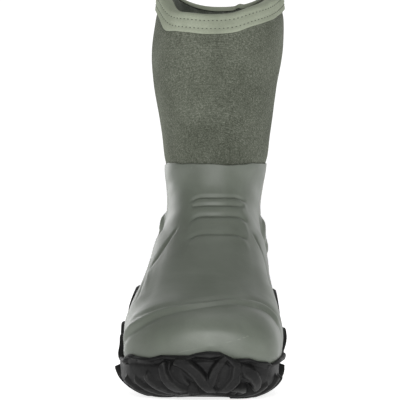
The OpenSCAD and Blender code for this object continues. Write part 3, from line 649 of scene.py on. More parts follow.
def shell_relief(s, t, P):
    """How far the rubber stands out of the plain surface, in mm."""
    d = np.zeros(s.shape)
    front = smooth(np.sin(np.radians(t)), 0.10, 0.35)
    XZ = P[..., [0, 2]]
    up = (s > 6) & (s < 13.5)
    for xc, hw, z0, drop, p, dep, w in BARS:
        r, u = seg_dist(XZ[up], arch(xc, hw, z0, drop, p))
        fade = smooth(1 - np.abs(2 * u - 1), 0.0, 0.16)
        d[up] -= dep * np.exp(-(r / w) ** 2) * fade * front[up]
        # the bar below the groove is a little full
        z = P[..., 2][up]
        x = np.abs(P[..., 0][up] - xc) / hw
        below = (z0 - drop * np.clip(x, 0, 1.3) ** p) - z
        d[up] += 0.55 * np.exp(-((below - w - 2.2) / 2.6) ** 2) * smooth(1.12 - x, 0, 0.25) * front[up]
    mid = (s > 3) & (s < 14)
    for line, side in ((QL, -1), (QR, 1)):
        r, u = seg_dist(P[mid], line)
        fade = smooth(1 - np.abs(2 * u - 1), 0.0, 0.22)
        d[mid] -= 0.65 * np.exp(-(r / 1.4) ** 2) * fade
        # the side panel stands a little over the vamp
        x = P[..., 0][mid] * side
        lx = np.interp(P[..., 2][mid], line[::-1, 2], line[::-1, 0]) * side
        d[mid] += 0.85 * smooth(x - lx, -0.6, 2.2) * smooth(P[..., 2][mid], 74, 90) * (1 - smooth(P[..., 2][mid], 112, 128)) * (1 - smooth(P[..., 1][mid], 18, 44))
    # both side quarters stand proud of the sides as far back as the heel counter
    side_on = smooth(np.abs(np.cos(np.radians(t))), 0.62, 0.86)
    zq, yq = P[..., 2], P[..., 1]
    qz = smooth(zq, 30, 44) * (1 - smooth(zq, 118 - 0.12 * yq, 128 - 0.12 * yq))
    qy = smooth(yq, -96, -70) * (1 - smooth(yq, 84, 100))
    left = P[..., 0] < 8
    d += side_on * qz * qy * np.where(left, 2.0, 1.5)
    # the lateral ball is fuller
    d += side_on * left * 1.4 * np.exp(-((zq - 60) / 16.0) ** 2) * qy
    r, u = seg_dist(P[mid], QL2)
    d[mid] -= 1.1 * np.exp(-(r / 1.3) ** 2) * smooth(1 - np.abs(2 * u - 1), 0.0, 0.22)
    # toe cap: a soft rolled ridge, the hollow above it and the small step below
    toe = s < 7.5
    r, u = seg_dist(P[toe], RIDGE)
    Q = RIDGE[np.clip((u * (len(RIDGE) - 1)).astype(int), 0, len(RIDGE) - 1)]
    above = (P[toe][:, 1] - Q[:, 1]) * 0.75 + (P[toe][:, 2] - Q[:, 2]) * 0.5
    sr = np.where(above >= 0, r, -r)
    ends = smooth(1 - np.abs(2 * u - 1), 0.0, 0.25)
    mid_soft = 1 - 0.5 * np.exp(-((u - 0.5) / 0.13) ** 2)
    d[toe] += 2.2 * np.exp(-(sr / 4.0) ** 2) * ends * mid_soft
    d[toe] -= 1.8 * np.exp(-((sr - 9.5) / 4.6) ** 2) * ends
    d[toe] -= 1.0 * np.exp(-((sr + 6.2) / 2.8) ** 2) * ends * mid_soft
    d[toe] += 0.9 * smooth(-sr, 6, 26) * smooth(s[toe], 0.2, 1.2)
    # ankle guards: oval pads with upright ribs
    for tc in (-5.0, 180.0):
        tt = np.where(tc < 0, (t + 180) % 360 - 180, t)
        v = (tt - tc) / 21.0
        if tc > 0:
            v = -v
        u2 = (s - 12.35) / 0.86
        rr = np.sqrt(u2 ** 2 + v ** 2)
        pad = smooth(1.0 - rr, 0.0, 0.42)
        rib = 0.5 + 0.5 * np.cos(2 * np.pi * (v * 3.0 + 0.15))
        d += pad * (2.9 + 1.7 * smooth(rib, 0.25, 0.75))
        d -= 0.8 * np.exp(-((rr - 1.06) / 0.06) ** 2)
    # heel: counter with a raised edge, and three kick ribs low on the back
    back = smooth(-np.sin(np.radians(t)), 0.45, 0.62)
    hz = P[..., 2]
    cz = 88 + 12 * smooth(-np.sin(np.radians(t)), 0.5, 1.0)
    heel = back * (s > 9.5) * smooth(P[..., 1], 40, 70)
    d += heel * (1.0 * smooth(cz - hz, 0, 4.5) + 0.5 * np.exp(-((cz - hz - 5.5) / 2.4) ** 2))
    kick = smooth(-np.sin(np.radians(t)), 0.80, 0.93) * (s > 10.5)
    for z0 in (62, 70, 78):
        d += kick * 1.3 * np.exp(-((hz - z0) / 2.1) ** 4)
    # low hand-made unevenness
    d += 0.55 * (vnoise(P, 34, 1) - 0.5) + 0.22 * (vnoise(P, 13, 2) - 0.5)
    return d


def shell_top_s(t, o, wave):
    return cut(t, o, 0, 1, SHELL_TOP + wave, 12, 18)


wave = 0.9 * np.sin(np.radians(TT) * 3 + 0.6) + 0.55 * np.sin(np.radians(TT) * 7 + 2.1) + 0.25 * np.sin(np.radians(TT) * 17)
wave = wave * 0.75
NROW = 430
f = np.linspace(0, 1, NROW + 1)[1:]
f = f ** 0.93
stop0 = shell_top_s(TT, 0.0, wave)
S = f[:, None] * stop0[None, :]
T = np.repeat(TT[None, :], NROW, 0)
base = pt(S, T, 0)
rel = shell_relief(S, T, base)
# the collar's top edge is a little proud of the knit
rel += 0.85 * smooth(base[..., 2], 158, 173)
rel *= smooth(S, 0.0, 0.5)
OUT = pt(S, T, -rel)
# rounded lip, then the inner face
top = rel[-1]
lip = []
for a in (20, 45, 70, 90):
    k = math.radians(a)
    o = -top + (1 - math.cos(k)) * 0.75
    zz = wave + SHELL_TOP + math.sin(k) * 0.7
    lip.append(pt(cut(TT, o, 0, 1, zz, 12, 18), TT, o))
for a in (110, 135, 160):
    k = math.radians(a)
    o = -top + 0.75 + (-math.cos(k)) * 0.6
    zz = wave + SHELL_TOP + math.sin(k) * 0.7
    lip.append(pt(cut(TT, o, 0, 1, zz, 12, 18), TT, o))
NIN = 120
fi = np.linspace(0.985, 0.012, NIN)
Si = fi[:, None] * stop0[None, :]
Ti = np.repeat(TT[None, :], NIN, 0)
Pi = pt(Si, Ti, 0)
thick = 2.8 - 1.2 * smooth(Pi[..., 2], 120, 150)
thick = thick - 1.05 * smooth(Pi[..., 2], 163, 170)
IN = pt(Si, Ti, thick)
G = np.concatenate([OUT, np.array(lip), IN])
boot_shell = pod("boot_shell", G, POLE + [0, 0.0, 0], POLE + [0, 2.8, 0], MAT["rubber"])
shell_bvh = BVHTree.FromPolygons([Vector(v) for v in OUT.reshape(-1, 3)], [tuple(int(k) for k in q) for q in wrap_faces(NROW, NCOL)])

# ------------------------------------------------------------------ knitted shaft
NC2 = 420
T2 = 90 + 360 * np.arange(NC2) / NC2
rows = 210
g = np.linspace(0, 1, rows)
lo_s = cut(T2, 0.7, 0, 1, 171.5, 12, 18)
hi_s = s_rim(T2, 0.0, 1.4)
Sk = lo_s[None, :] + (hi_s - lo_s)[None, :] * g[:, None]
Tk = np.repeat(T2[None, :], rows, 0)
Pk = pt(Sk, Tk, 0)
# the fabric tucks behind the rubber lip, fills above it and goes under the binding
ok = 0.85 * (1 - smooth(Pk[..., 2], 174.5, 183)) - 0.5 * np.exp(-((Pk[..., 2] - 186) / 9.0) ** 2)
ok = ok - 0.9 * (vnoise(Pk, 40, 5) - 0.5) - 0.35 * (vnoise(Pk, 15, 6) - 0.5)
ok = ok + 0.55 * np.exp(-((rim_at(Tk) - 16.4 - Pk[..., 2]) / 3.0) ** 2)
under = smooth(Pk[..., 2] - (rim_at(Tk) - 15.9), 0, 3)
ok = ok * (1 - under) + 0.25 * under
Kout = pt(Sk, Tk, ok)
inner_rows = 90
gi = np.linspace(1, 0, inner_rows)
Ski = lo_s[None, :] + (hi_s - lo_s)[None, :] * gi[:, None]
Kin = pt(Ski, np.repeat(T2[None, :], inner_rows, 0), 1.58)
K = np.concatenate([Kout, Kin])
ring_run = runs(K)
shaft_knit = ring("shaft_knit", K, MAT["knit"], run=ring_run)

# ------------------------------------------------------------------ topline binding and its stitches
NB = 640
TB = 90 + 360 * np.arange(NB) / NB
H = 13.9
prof = []  # (below the rim, depth)
for b in np.linspace(H, 1.0, 26):
    bulge = 0.55 * np.sin(np.pi * np.clip((b - 3.7) / 6.3, 0, 1)) if 3.7 < b < 10.0 else (0.45 * np.sin(np.pi * np.clip((b - 10.0) / 5.2, 0, 1)) if b >= 10.0 else 0.5 * np.sin(np.pi * np.clip(b / 3.7, 0, 1)))
    prof.append((b, -0.95 - bulge))
for a in np.linspace(8, 172, 16):
    k = math.radians(a)
    prof.append((0.6 - 2.3 * math.sin(k), 3.9 - 5.0 * math.cos(k)))
for b in np.linspace(0.9, 2.4, 4):
    prof.append((b, 9.6))
for b in np.linspace(2.3, 1.1, 3):
    prof.append((b, 8.9))
prof.append((0.9, 8.2))
for dpt in (5.5, 3.0, 1.2):
    prof.append((0.9, dpt))
for b in np.linspace(1.2, H, 14):
    prof.append((b, -0.35))
edge = 0.25 * np.sin(np.radians(TB) * 5) + 0.12 * np.sin(np.radians(TB) * 19 + 1)
rowsB = []
for b, dep in prof:
    w = smooth(b, 10.5, H)
    bb = np.full(NB, b) + (edge + 3.0 * np.exp(-((TB - 137) / 10.0) ** 2)) * w
    oo = np.full(NB, dep)
    rowsB.append(pt(s_rim(TB, oo, bb), TB, oo))
B = np.array(rowsB)
B = B + 0.0
puck = 0.16 * np.sin(np.arange(NB) * 2 * np.pi / NB * 107)
topline = ring("topline_band", B, MAT["binding"], run=runs(B))


def stitch_row(below, count, depth, length, r, name_rows, phase=0.0):
    """Small rounded stitches lying along the band."""
    tt = 90 + 360 * (np.arange(count) + phase) / count
    # equal spacing by arc length
    fine = 90 + np.linspace(0, 360, 4000)
    C = pt(s_rim(fine, np.full(4000, depth), np.full(4000, below)), fine, depth)
    L = np.concatenate([[0], np.cumsum(np.linalg.norm(np.diff(C, axis=0), axis=1))])
    V, F = [], []
    m, seg = 8, 7
    total = L[-1]
    step = total / count
    at = lambda x: np.stack([np.interp(np.mod(x, total), L, C[:, k]) for k in range(3)], -1)
    cen = pt(s_rim(fine, np.full(4000, 8.0), np.full(4000, below)), fine, 8.0)
    for k in range(count):
        m0 = (k + phase) * step
        xs = np.linspace(-length / 2, length / 2, seg)
        c = at(m0 + xs)
        mid = at(np.array([m0]))[0]
        j = np.searchsorted(L, np.mod(m0, total)) % 4000
        out = mid - cen[j]
        out = out / np.linalg.norm(out)
        tan = c[-1] - c[0]
        tan = tan / np.linalg.norm(tan)
        up = np.cross(tan, out)
        up /= np.linalg.norm(up)
        out = np.cross(up, tan)
        base = len(V)
        for q in range(seg):
            a = xs[q] / (length / 2)
            rr = r * math.sqrt(max(0.0, 1 - a ** 4)) + 0.03
            sink = -0.42 * a * a
            for i in range(m):
                th = 2 * math.pi * i / m
                V.append(c[q] + out * (sink + rr * 0.8 * math.cos(th)) + up * rr * math.sin(th))
        for q in range(seg - 1):
            for i in range(m):
                F.append((base + q * m + i, base + q * m + (i + 1) % m, base + (q + 1) * m + (i + 1) % m, base + (q + 1) * m + i))
        F.append(tuple(base + i for i in range(m))[::-1] if False else None)
        F.pop()
        name_rows.append((base, seg, m))
    return np.array(V), F


def stitch_object(name, rows_list, mat):
    V = []
    Q = []
    caps = []
    off = 0
    for below, count, depth, length, r, phase in rows_list:
        info = []
        v, f = stitch_row(below, count, depth, length, r, info, phase)
        V.append(v)
        Q.append(np.array(f) + off)
        for base, seg, m in info:
            caps.append([off + base + i for i in range(m)])
            caps.append([off + base + (seg - 1) * m + (m - 1 - i) for i in range(m)])
        off += len(v)
    return make(name, np.concatenate(V), [np.concatenate(Q)[:, ::-1], np.array(caps)], mat)


stitches = stitch_object("binding_stitches", [(3.7, 128, -1.12, 1.75, 0.36, 0.0), (10.0, 128, -1.12, 1.75, 0.36, 0.4)], MAT["thread"])

# ------------------------------------------------------------------ foam and lining
NCF = 200
TF = 90 + 360 * np.arange(NCF) / NCF


def bootie(name, o_out_fn, o_in, below_out, below_in, mat, nrow_out, nrow_in, fuzz=0.0, seed=3):
    f1 = np.linspace(0, 1, nrow_out + 1)[1:]
    s1 = s_rim(TF, np.full(NCF, 2.0), np.full(NCF, below_out))
    So = f1[:, None] * s1[None, :]
    To = np.repeat(TF[None, :], nrow_out, 0)
    P0 = pt(So, To, 0)
    A = pt(So, To, o_out_fn(P0))
    f2 = np.linspace(1, 0, nrow_in + 1)[:-1]
    s2 = s_rim(TF, np.full(NCF, float(o_in)), np.full(NCF, below_in))
    Sn = f2[:, None] * s2[None, :]
    Tn = np.repeat(TF[None, :], nrow_in, 0)
    P1 = pt(Sn, Tn, o_in)
    oi = np.full(P1.shape[:2], float(o_in))
    if fuzz:
        oi = oi + fuzz * (vnoise(P1, 2.6, seed) - 0.75) + fuzz * 0.7 * (vnoise(P1, 7.0, seed + 1) - 0.6)
    Bq = pt(Sn, Tn, oi)
    oo = float(o_out_fn(POLE[None, :])[0])
    return pod(name, np.concatenate([A, Bq]), POLE + [0, oo, 0], POLE + [0, o_in, 0], mat)


boot_foam = bootie("bootie_foam", lambda P: 3.05 - 1.3 * smooth(P[..., 2], 120, 150), 6.9, 2.2, 2.2, MAT["foam"], 200, 120)
boot_lining = bootie("fleece_lining", lambda P: np.full(P.shape[:-1], 7.05), 9.3, 3.4, 2.8, MAT["fleece"], 120, 330, fuzz=1.1)


# seam tapes at the back
def strap(name, t0, t1, o_face, o_back, below, z_lo, mat, n=90, m=11, crown=0.25):
    tt = np.linspace(t0, t1, m)
    u = np.linspace(-1, 1, m)
    rowsA, rowsB2 = [], []
    lo = cut(tt, np.full(m, o_back), 0, 1, z_lo, 11, 19)
    hi = s_rim(tt, np.full(m, o_back), np.full(m, below))
    k = np.linspace(0, 1, n)[:, None]
    Sg = lo[None, :] + (hi - lo)[None, :] * k
    Tg = np.repeat(tt[None, :], n, 0)
    side = 1 if o_back > o_face else -1
    face = o_face - side * crown * (1 - u ** 2) * (0.6 + 0.4 * np.cos(u * 3 * math.pi)) + side * 0.35 * (np.abs(u) ** 6)
    A = pt(Sg, Tg, np.repeat(face[None, :], n, 0) + 0.0)
    Bk = pt(Sg, Tg, o_back)
    V = np.concatenate([A.reshape(-1, 3), Bk.reshape(-1, 3)])
    i = np.arange(n - 1)[:, None]
    j = np.arange(m - 1)[None, :]
    a = i * m + j
    q = np.stack([a, a + 1, a + m + 1, a + m], -1).reshape(-1, 4)
    nb = n * m
    F = [q, (q + nb)[:, ::-1]]
    e = np.arange(m - 1)
    F.append(np.stack([e, e + nb, e + nb + 1, e + 1], -1))
    e2 = (n - 1) * m + e
    F.append(np.stack([e2, e2 + 1, e2 + nb + 1, e2 + nb], -1))
    c = np.arange(n - 1) * m
    F.append(np.stack([c, c + m, c + m + nb, c + nb], -1))
    c2 = c + m - 1
    F.append(np.stack([c2, c2 + nb, c2 + m + nb, c2 + m], -1))
    r = np.concatenate([runs(A), runs(Bk)])
    flip = o_back > o_face
    if not flip:
        F = [x[:, ::-1] for x in F]
    return make(name, V, F, mat, run=r)


back_tape = strap("back_seam_strip", 266.2, 273.8, -0.55, 0.3, 18.2, 177.5, MAT["tape"])
inner_tape = strap("inner_seam_strip", 258, 282, 10.6, 9.6, 9.0, 141.0, MAT["tape"])

# ------------------------------------------------------------------ outsole
OLp = np.array([[3, -160], [-10, -158.3], [-24, -154], [-36.5, -147.5], [-47.5, -137], [-57, -122], [-62.5, -104], [-64.6, -84], [-62, -62], [-56.5, -38],
                [-49.5, -12], [-44, 16], [-40, 44], [-38.5, 72], [-36.5, 98], [-33, 120], [-26.5, 138], [-16, 151], [-3, 158], [5, 160]], float)
ORp = np.array([[12, -160], [24, -158], [37, -153], [48, -145], [56, -133], [60, -118], [62, -100], [62.5, -80], [61, -58], [58, -36],
                [54, -12], [50, 16], [48, 44], [47.5, 72], [46.5, 98], [43.5, 120], [38, 138], [28, 151], [17, 158], [9, 160]], float)


def closed_outline():
    p = np.vstack([ORp, OLp[::-1]])
    n = len(p)
    out = []
    for k in range(n):
        a, b, c, d = p[(k - 1) % n], p[k], p[(k + 1) % n], p[(k + 2) % n]
        for u in np.linspace(0, 1, 40, endpoint=False):
            out.append(0.5 * (2 * b + (c - a) * u + (2 * a - 5 * b + 4 * c - d) * u * u + (3 * b - a - 3 * c + d) * u ** 3))
    return np.array(out)


OC = closed_outline()
OCL = np.concatenate([[0], np.cumsum(np.linalg.norm(np.diff(np.vstack([OC, OC[:1]]), axis=0), axis=1))])
PERIM = OCL[-1]


def outline(w):
    w = np.mod(w, PERIM)
    q = np.vstack([OC, OC[:1]])
    return np.stack([np.interp(w, OCL, q[:, k]) for k in range(2)], -1)


def outline_normal(w):
    d = outline(w + 1.5) - outline(w - 1.5)
    d /= np.linalg.norm(d, axis=-1, keepdims=True)
    return np.stack([d[..., 1], -d[..., 0]], -1)


# the toe tip and the heel tip by running length
w_all = np.linspace(0, PERIM, 4000)
oa = outline(w_all)
W_TOE = w_all[np.argmin(np.abs(oa[:, 0] - 7.5) + (oa[:, 1] > 0) * 1e3)]
W_HEEL = w_all[np.argmin(np.abs(oa[:, 0] - 7.0) + (oa[:, 1] < 0) * 1e3)]
LEN_M = (W_HEEL - W_TOE) % PERIM
LEN_L = PERIM - LEN_M


def spring(y):
    return np.where(y < -100, 9 * ((-100 - y) / 60) ** 2, 0) + np.where(y > 130, 2 * ((y - 130) / 30) ** 2, 0)


WTX = np.array([-160, -148, -120, -90, -40, 20, 90, 130, 148, 160.0])
WTZ = np.array([30.5, 28, 27, 30, 34, 37, 40, 42, 46, 48.0])
TOE_TOP = np.array([[-90, 38], [-80, 36], [-66, 32.6], [-48, 31.9], [-38, 34.2], [-15.5, 34.3], [-10, 36], [-1.7, 37.4], [8.6, 37], [14.7, 34.3], [20.6, 31.9], [32.5, 31.9],
                    [40, 29.6], [48, 28.8], [54, 27.0], [66, 29.0], [80, 31]])


def wall_height(side, w, y):
    """Height of the black wall's edge; w is the running length from the toe tip on that side."""
    z = np.interp(y, WTX, WTZ) + 2.0
    sw = side * w
    toe = np.interp(sw, TOE_TOP[:, 0], TOE_TOP[:, 1])
    k = smooth(np.abs(sw), 68, 88)
    z = toe * (1 - k) + z * k
    claws = ((-91, 13, 17), (-59, 16, 22), (-27, 24, 46), (41, 30, 38)) if side < 0 else ((-54, 15, 17), (-15, 26, 44), (51, 28, 34))
    for yc, hw, up in claws:
        # steep and full on the toe side, long and hollow on the heel side, with a rounded tip
        for dy in (-4.0, -2.0, 0.0, 2.0, 4.0):
            q = y + dy
            fr = np.clip(1 - (yc - q) / (hw * 0.66), 0, 1)
            re = np.clip(1 - (q - yc) / (hw * 1.45), 0, 1)
            a = np.where(q < yc, fr, re ** 1.7)
            z = z + (up * smooth(a) * 0.45 + up * a * 0.6) / 5
    z = z + 1.3 * np.sin(w / 5.2 + side) * smooth(w, 90, 120)
    return z


def paired(nsec):
    """Sections from toe to heel: running lengths on the two sides."""
    a = np.linspace(0, 1, nsec)
    # evenly spaced; the closer spacing at both ends is switched off
    a = 0.5 - 0.5 * np.cos(np.pi * a) * (0.35 + 0.65 * np.abs(np.cos(np.pi * a)) ** 0.0) if False else a
    return a * LEN_M, a * LEN_L


NSEC = 460
wm, wl = paired(NSEC)

# lugs: polylines in (running length from the toe tip, path length from the ground edge), with half widths
LUG = []


def lug_line(side, pts, rad, high=1.0, soft=0.75):
    LUG.append((side, np.array(pts, float), np.array(rad, float), high, soft))


# toe front: the two crossing arms, the block and claws to the left, the two lobes to the right
lug_line(0, [(-24, 29), (-17, 25), (-9, 18), (-2, 8), (6, -4)], [3.5, 5.4, 6.0, 6.4, 6.5], 1.42)
lug_line(0, [(13, 32), (21, 25), (20, 14), (11, 1), (8, -10)], [3.0, 5.0, 6.0, 6.5, 6.0], 1.42)
lug_line(0, [(13, 31), (5, 20), (1, 9)], [3.0, 4.6, 5.5], 1.25)
lug_line(0, [(13, 22), (10, 8)], [7.5, 8.5], 1.0, 0.9)
lug_line(0, [(-36, 33), (-35, 25), (-32, 15), (-27, 6), (-18, -6)], [4.0, 4.8, 5.2, 5.6, 5.6], 1.3)
lug_line(0, [(-27, 24), (-24, 12), (-20, 6)], [7.0, 7.0, 5.0], 0.55, 0.6)
lug_line(0, [(-9, 34), (1, 33), (9, 34)], [5.0, 5.0, 4.5], 0.95, 0.7)
lug_line(0, [(28, 23), (37, 24), (47, 22)], [6.5, 8.2, 6.5], 1.35, 0.7)
lug_line(0, [(22, 2), (33, 5), (45, 5), (55, 7)], [4.5, 5.4, 5.4, 4.5], 1.2)
lug_line(0, [(58, 30), (60, 20), (55, 8), (48, -6)], [4.0, 5.2, 5.6, 5.2], 1.4)
lug_line(0, [(73, 38), (74, 24), (68, 10), (58, -8)], [4.0, 5.6, 5.8, 5.4], 1.4)
lug_line(0, [(88, 38), (88, 24), (82, 9), (74, -10)], [4.0, 5.6, 5.8, 5.4], 1.4)
lug_line(0, [(-52, 36), (-50, 28), (-47, 20), (-40, 9), (-29, -4)], [3.6, 5.6, 6.2, 6.4, 6.0], 1.5, 0.95)
lug_line(0, [(-67, 36), (-64, 27), (-58, 16), (-47, 4), (-38, -8)], [3.8, 5.8, 6.6, 6.6, 6.0], 1.5, 0.95)
lug_line(0, [(-82, 38), (-79, 26), (-69, 12), (-53, -2), (-46, -10)], [4.0, 6.0, 6.8, 6.6, 6.0], 1.5, 0.95)
for side, length in ((-1, LEN_L), (1, LEN_M)):
    w = 103.0
    k = 0
    while w < length - 12:
        lean = 11 if w < length * 0.55 else (7 if w < length - 60 else 2)
        wide = 5.6 if k % 2 == 0 else 4.6
        hi = 46 if k % 3 == 0 else 34
        lug_line(side, [(w + lean, hi), (w + lean * 0.7, 24), (w, 9), (w - lean * 0.6, -9), (w - lean, -17)], [2.6, wide * 0.85, wide, wide * 1.05, wide * 0.8], 1.3, 0.7)
        w += 15.2 if k % 2 == 0 else 13.6
        k += 1
CENTRE = []  # chevrons and bars under the sole, (x, y) polylines
for y, wd in ((-128, 15), (-110, 24), (-92, 27), (-74, 27), (-56, 25), (-38, 20)):
    CENTRE.append((np.array([(4 - wd, y + 7), (4, y - 5), (4 + wd, y + 7)], float), np.array([4.6, 5.2, 4.6])))
for y in (-18, -4, 10, 24):
    CENTRE.append((np.array([(-12, y + 2), (5, y - 1), (22, y + 2)], float), np.array([3.0, 3.4, 3.0])))
for y in (42, 59, 76, 93, 110, 127):
    CENTRE.append((np.array([(-9, y - 5), (6, y + 5), (21, y - 5)], float), np.array([4.6, 5.2, 4.6])))


def lug_mask(side, w, h, X, Y, bottom):
    """0 in the channels, 1 on the lugs."""
    best = np.zeros(w.shape)
    sw = w * side
    near_toe = w < 110
    for sd, pts, rad, high, soft in LUG:
        if sd == 0:
            k = near_toe & (sw > pts[:, 0].min() - 14) & (sw < pts[:, 0].max() + 14)
            q = np.stack([sw[k], h[k]], -1)
        elif sd == side:
            k = (w > pts[:, 0].min() - 12) & (w < pts[:, 0].max() + 12)
            q = np.stack([w[k], h[k]], -1)
        else:
            continue
        if not k.any():
            continue
        r, _ = seg_dist(q, pts, rad)
        best[k] = np.maximum(best[k], high * smooth(1.18 - r, 0.0, soft))
    k = bottom
    if k.any():
        q = np.stack([X[k], Y[k]], -1)
        b = best[k]
        for pts, rad in CENTRE:
            r, _ = seg_dist(q, pts, rad)
            b = np.maximum(b, smooth(1.18 - r, 0.0, 0.36))
        best[k] = b
    return best


# how far the shell lies behind the outline, by height
ZT = np.arange(8, 97, 2.0)


def shell_inset(w_abs):
    C = outline(w_abs)
    N = outline_normal(w_abs)
    R = np.full((len(w_abs), len(ZT)), np.nan)
    for i in range(len(w_abs)):
        for j, z in enumerate(ZT):
            o = Vector((C[i, 0] + N[i, 0] * 30, C[i, 1] + N[i, 1] * 30, z))
            hit = shell_bvh.ray_cast(o, Vector((-N[i, 0], -N[i, 1], 0.0)), 140)
            if hit[0] is not None:
                R[i, j] = hit[3] - 30
    for i in range(len(w_abs)):
        row = R[i]
        good = ~np.isnan(row)
        if good.any():
            R[i] = np.interp(ZT, ZT[good], row[good])
        else:
            R[i] = 8.0
    return R


def side_sections(side, ws, length):
    """Points of the wall for one side: outer rows from the edge down to the ground edge."""
    w_abs = W_TOE + side * ws
    C = outline(w_abs)
    N = outline_normal(w_abs)
    INS = shell_inset(w_abs)
    # a little smoothing along the outline
    for _ in range(2):
        INS[1:-1] = (INS[:-2] + 2 * INS[1:-1] + INS[2:]) / 4
    y = C[:, 1]
    sp = spring(y)
    top = wall_height(side, ws, y)
    back = smooth(y, -70, 0)
    tip = np.clip(ws / 40, 0, 1)
    if side < 0:
        Rx = (11 + 27 * smooth(ws, 16, 60)) * (1 - back) + 8 * back
        Rz = (13 + 12 * smooth(ws, 16, 60)) * (1 - back) + 11 * back
    else:
        Rx = (11 + 25 * smooth(ws, 20, 60)) * (1 - back) + 8 * back
        Rz = (13 + 8 * smooth(ws, 20, 60)) * (1 - back) + 11 * back
    n_wall, n_round = 46, 30
    ins = np.zeros((len(ws), n_wall + n_round))
    zz = np.zeros_like(ins)
    for i in range(len(ws)):
        zr = Rz[i] + sp[i]
        z1 = np.linspace(top[i], zr, n_wall)
        sh = np.interp(z1, ZT, INS[i])
        # thickness of the wall over the shell, fine at its edge
        low = 0.2 + 0.5 * (1 - smooth(z1, zr, zr + 6))
        kk = smooth(z1, zr + 6, max(zr + 14, min(top[i] - 1.0, 36)))
        a = sh - (3.4 + 1.6 * (1 - back[i]))
        p = low * (1 - kk) + a * kk
        p = np.minimum(p, a + 0.0)
        wt = np.interp(y[i], WTX, WTZ)
        cz = np.interp(z1, [13.5 + sp[i], wt + 3], [5.0, 4.0]) - 1.3
        p = np.minimum(p, cz + np.maximum(a - cz, 0) * smooth(z1, wt - 3.0, wt + 2.5))
        # rounded upper edge
        e = np.clip((top[i] - z1) / 3.2, 0, 1)
        p = p + (1 - np.sqrt(np.clip(1 - (1 - e) ** 2, 0, 1))) * (2.6 + 1.4 * (1 - back[i]))
        ins[i, :n_wall] = p
        zz[i, :n_wall] = z1
        th = np.linspace(0, math.pi / 2, n_round + 1)[1:]
        ins[i, n_wall:] = ins[i, n_wall - 1] + Rx[i] * (1 - np.clip(np.cos(th), 0, 1))
        zz[i, n_wall:] = sp[i] + Rz[i] * (1 - np.sin(th))
    return dict(side=side, w=ws, C=C, N=N, ins=ins, z=zz, top=top, sp=sp, INS=INS, y=y, n_wall=n_wall)


SM = side_sections(1, wm, LEN_M)
SL = side_sections(-1, wl, LEN_L)


# inner face: hugs the shell at the edge, then the cup that holds the midsole
def inner(D):
    C, N = D["C"], D["N"]
    n_in = 16
    ins = np.zeros((len(D["w"]), n_in))
    zz = np.zeros_like(ins)
    for i in range(len(D["w"])):
        wt = np.interp(D["y"][i], WTX, WTZ)
        topz = D["top"][i]
        zlip = min(wt - 3.4, topz - 2.0)
        z1 = np.linspace(topz - 0.5, zlip, 9)
        a = np.interp(z1, ZT, D["INS"][i]) + 0.3
        fl = 9.4 + D["sp"][i]
        z2 = np.array([zlip - 0.5, (zlip + fl) / 2, fl + 4, fl + 1.2, fl, fl, fl])
        full = wt + 3
        b = np.array([np.interp(z2[0], [fl + 4, full], [5.0, 4.0]), np.interp(z2[1], [fl + 4, full], [5.0, 4.0]), 5.0, 6.6, 8.0, 8.6, 9.4])
        b[0] = min(b[0], a[-1])
        ins[i] = np.concatenate([a, np.minimum(b, 60)])
        zz[i] = np.concatenate([z1, z2])
    D["cav"] = np.stack([ins, zz], -1)
    P = np.zeros(ins.shape + (3,))
    P[..., 0] = C[:, None, 0] - N[:, None, 0] * ins
    P[..., 1] = C[:, None, 1] - N[:, None, 1] * ins
    P[..., 2] = zz
    return P


IM = inner(SM)
IL = inner(SL)


def carve(D):
    """Outer wall points with the lugs standing and the channels cut back."""
    C, N = D["C"], D["N"]
    P = np.zeros(D["ins"].shape + (3,))
    P[..., 0] = C[:, None, 0] - N[:, None, 0] * D["ins"]
    P[..., 1] = C[:, None, 1] - N[:, None, 1] * D["ins"]
    P[..., 2] = D["z"]
    # path length from the ground edge, upwards
    q = np.stack([D["ins"], D["z"]], -1)
    L = np.linalg.norm(np.diff(q, axis=1), axis=-1)
    h = np.concatenate([np.cumsum(L[:, ::-1], 1)[:, ::-1], np.zeros((len(L), 1))], 1)
    # outward direction in the profile plane
    g0 = np.gradient(D["ins"], axis=1)
    g1 = np.gradient(D["z"], axis=1)
    nn = np.hypot(g0, g1) + 1e-9
    out = np.clip(-g1 / nn, 0, 1)
    dwn = np.clip(g0 / nn, 0, 1)
    W = np.repeat(D["w"][:, None], h.shape[1], 1)
    m = lug_mask(D["side"], W, h, P[..., 0], P[..., 1], np.zeros(h.shape, bool))
    # the band along the top edge is cut at most a fifth as deep
    band = 0.8 * smooth(D["z"] - (D["top"][:, None] - 3.4), -2.2, 1.4)
    m = np.maximum(m, band)
    room = np.zeros(h.shape)
    for i in range(len(h)):
        r, _ = seg_dist(np.stack([D["ins"][i], D["z"][i]], -1), D["cav"][i])
        room[i] = np.clip(r - 0.9, 0.0, 9)
    depth = (1 - m) * (5.0 + 0.8 * dwn)
    depth = np.minimum(depth, room)
    rough = 0.35 * (vnoise(P, 9, 21) - 0.5) * m + 0.18 * (vnoise(P, 3.4, 22) - 0.5)
    depth = depth - rough * smooth(D["top"][:, None] - D["z"], 0.4, 3)
    P[..., 0] -= N[:, None, 0] * out * depth
    P[..., 1] -= N[:, None, 1] * out * depth
    P[..., 2] += dwn * depth
    P[..., 2] = np.maximum(P[..., 2], 0.0)
    return P, h, m


PM, hM, mM = carve(SM)
PL, hL, mL = carve(SL)
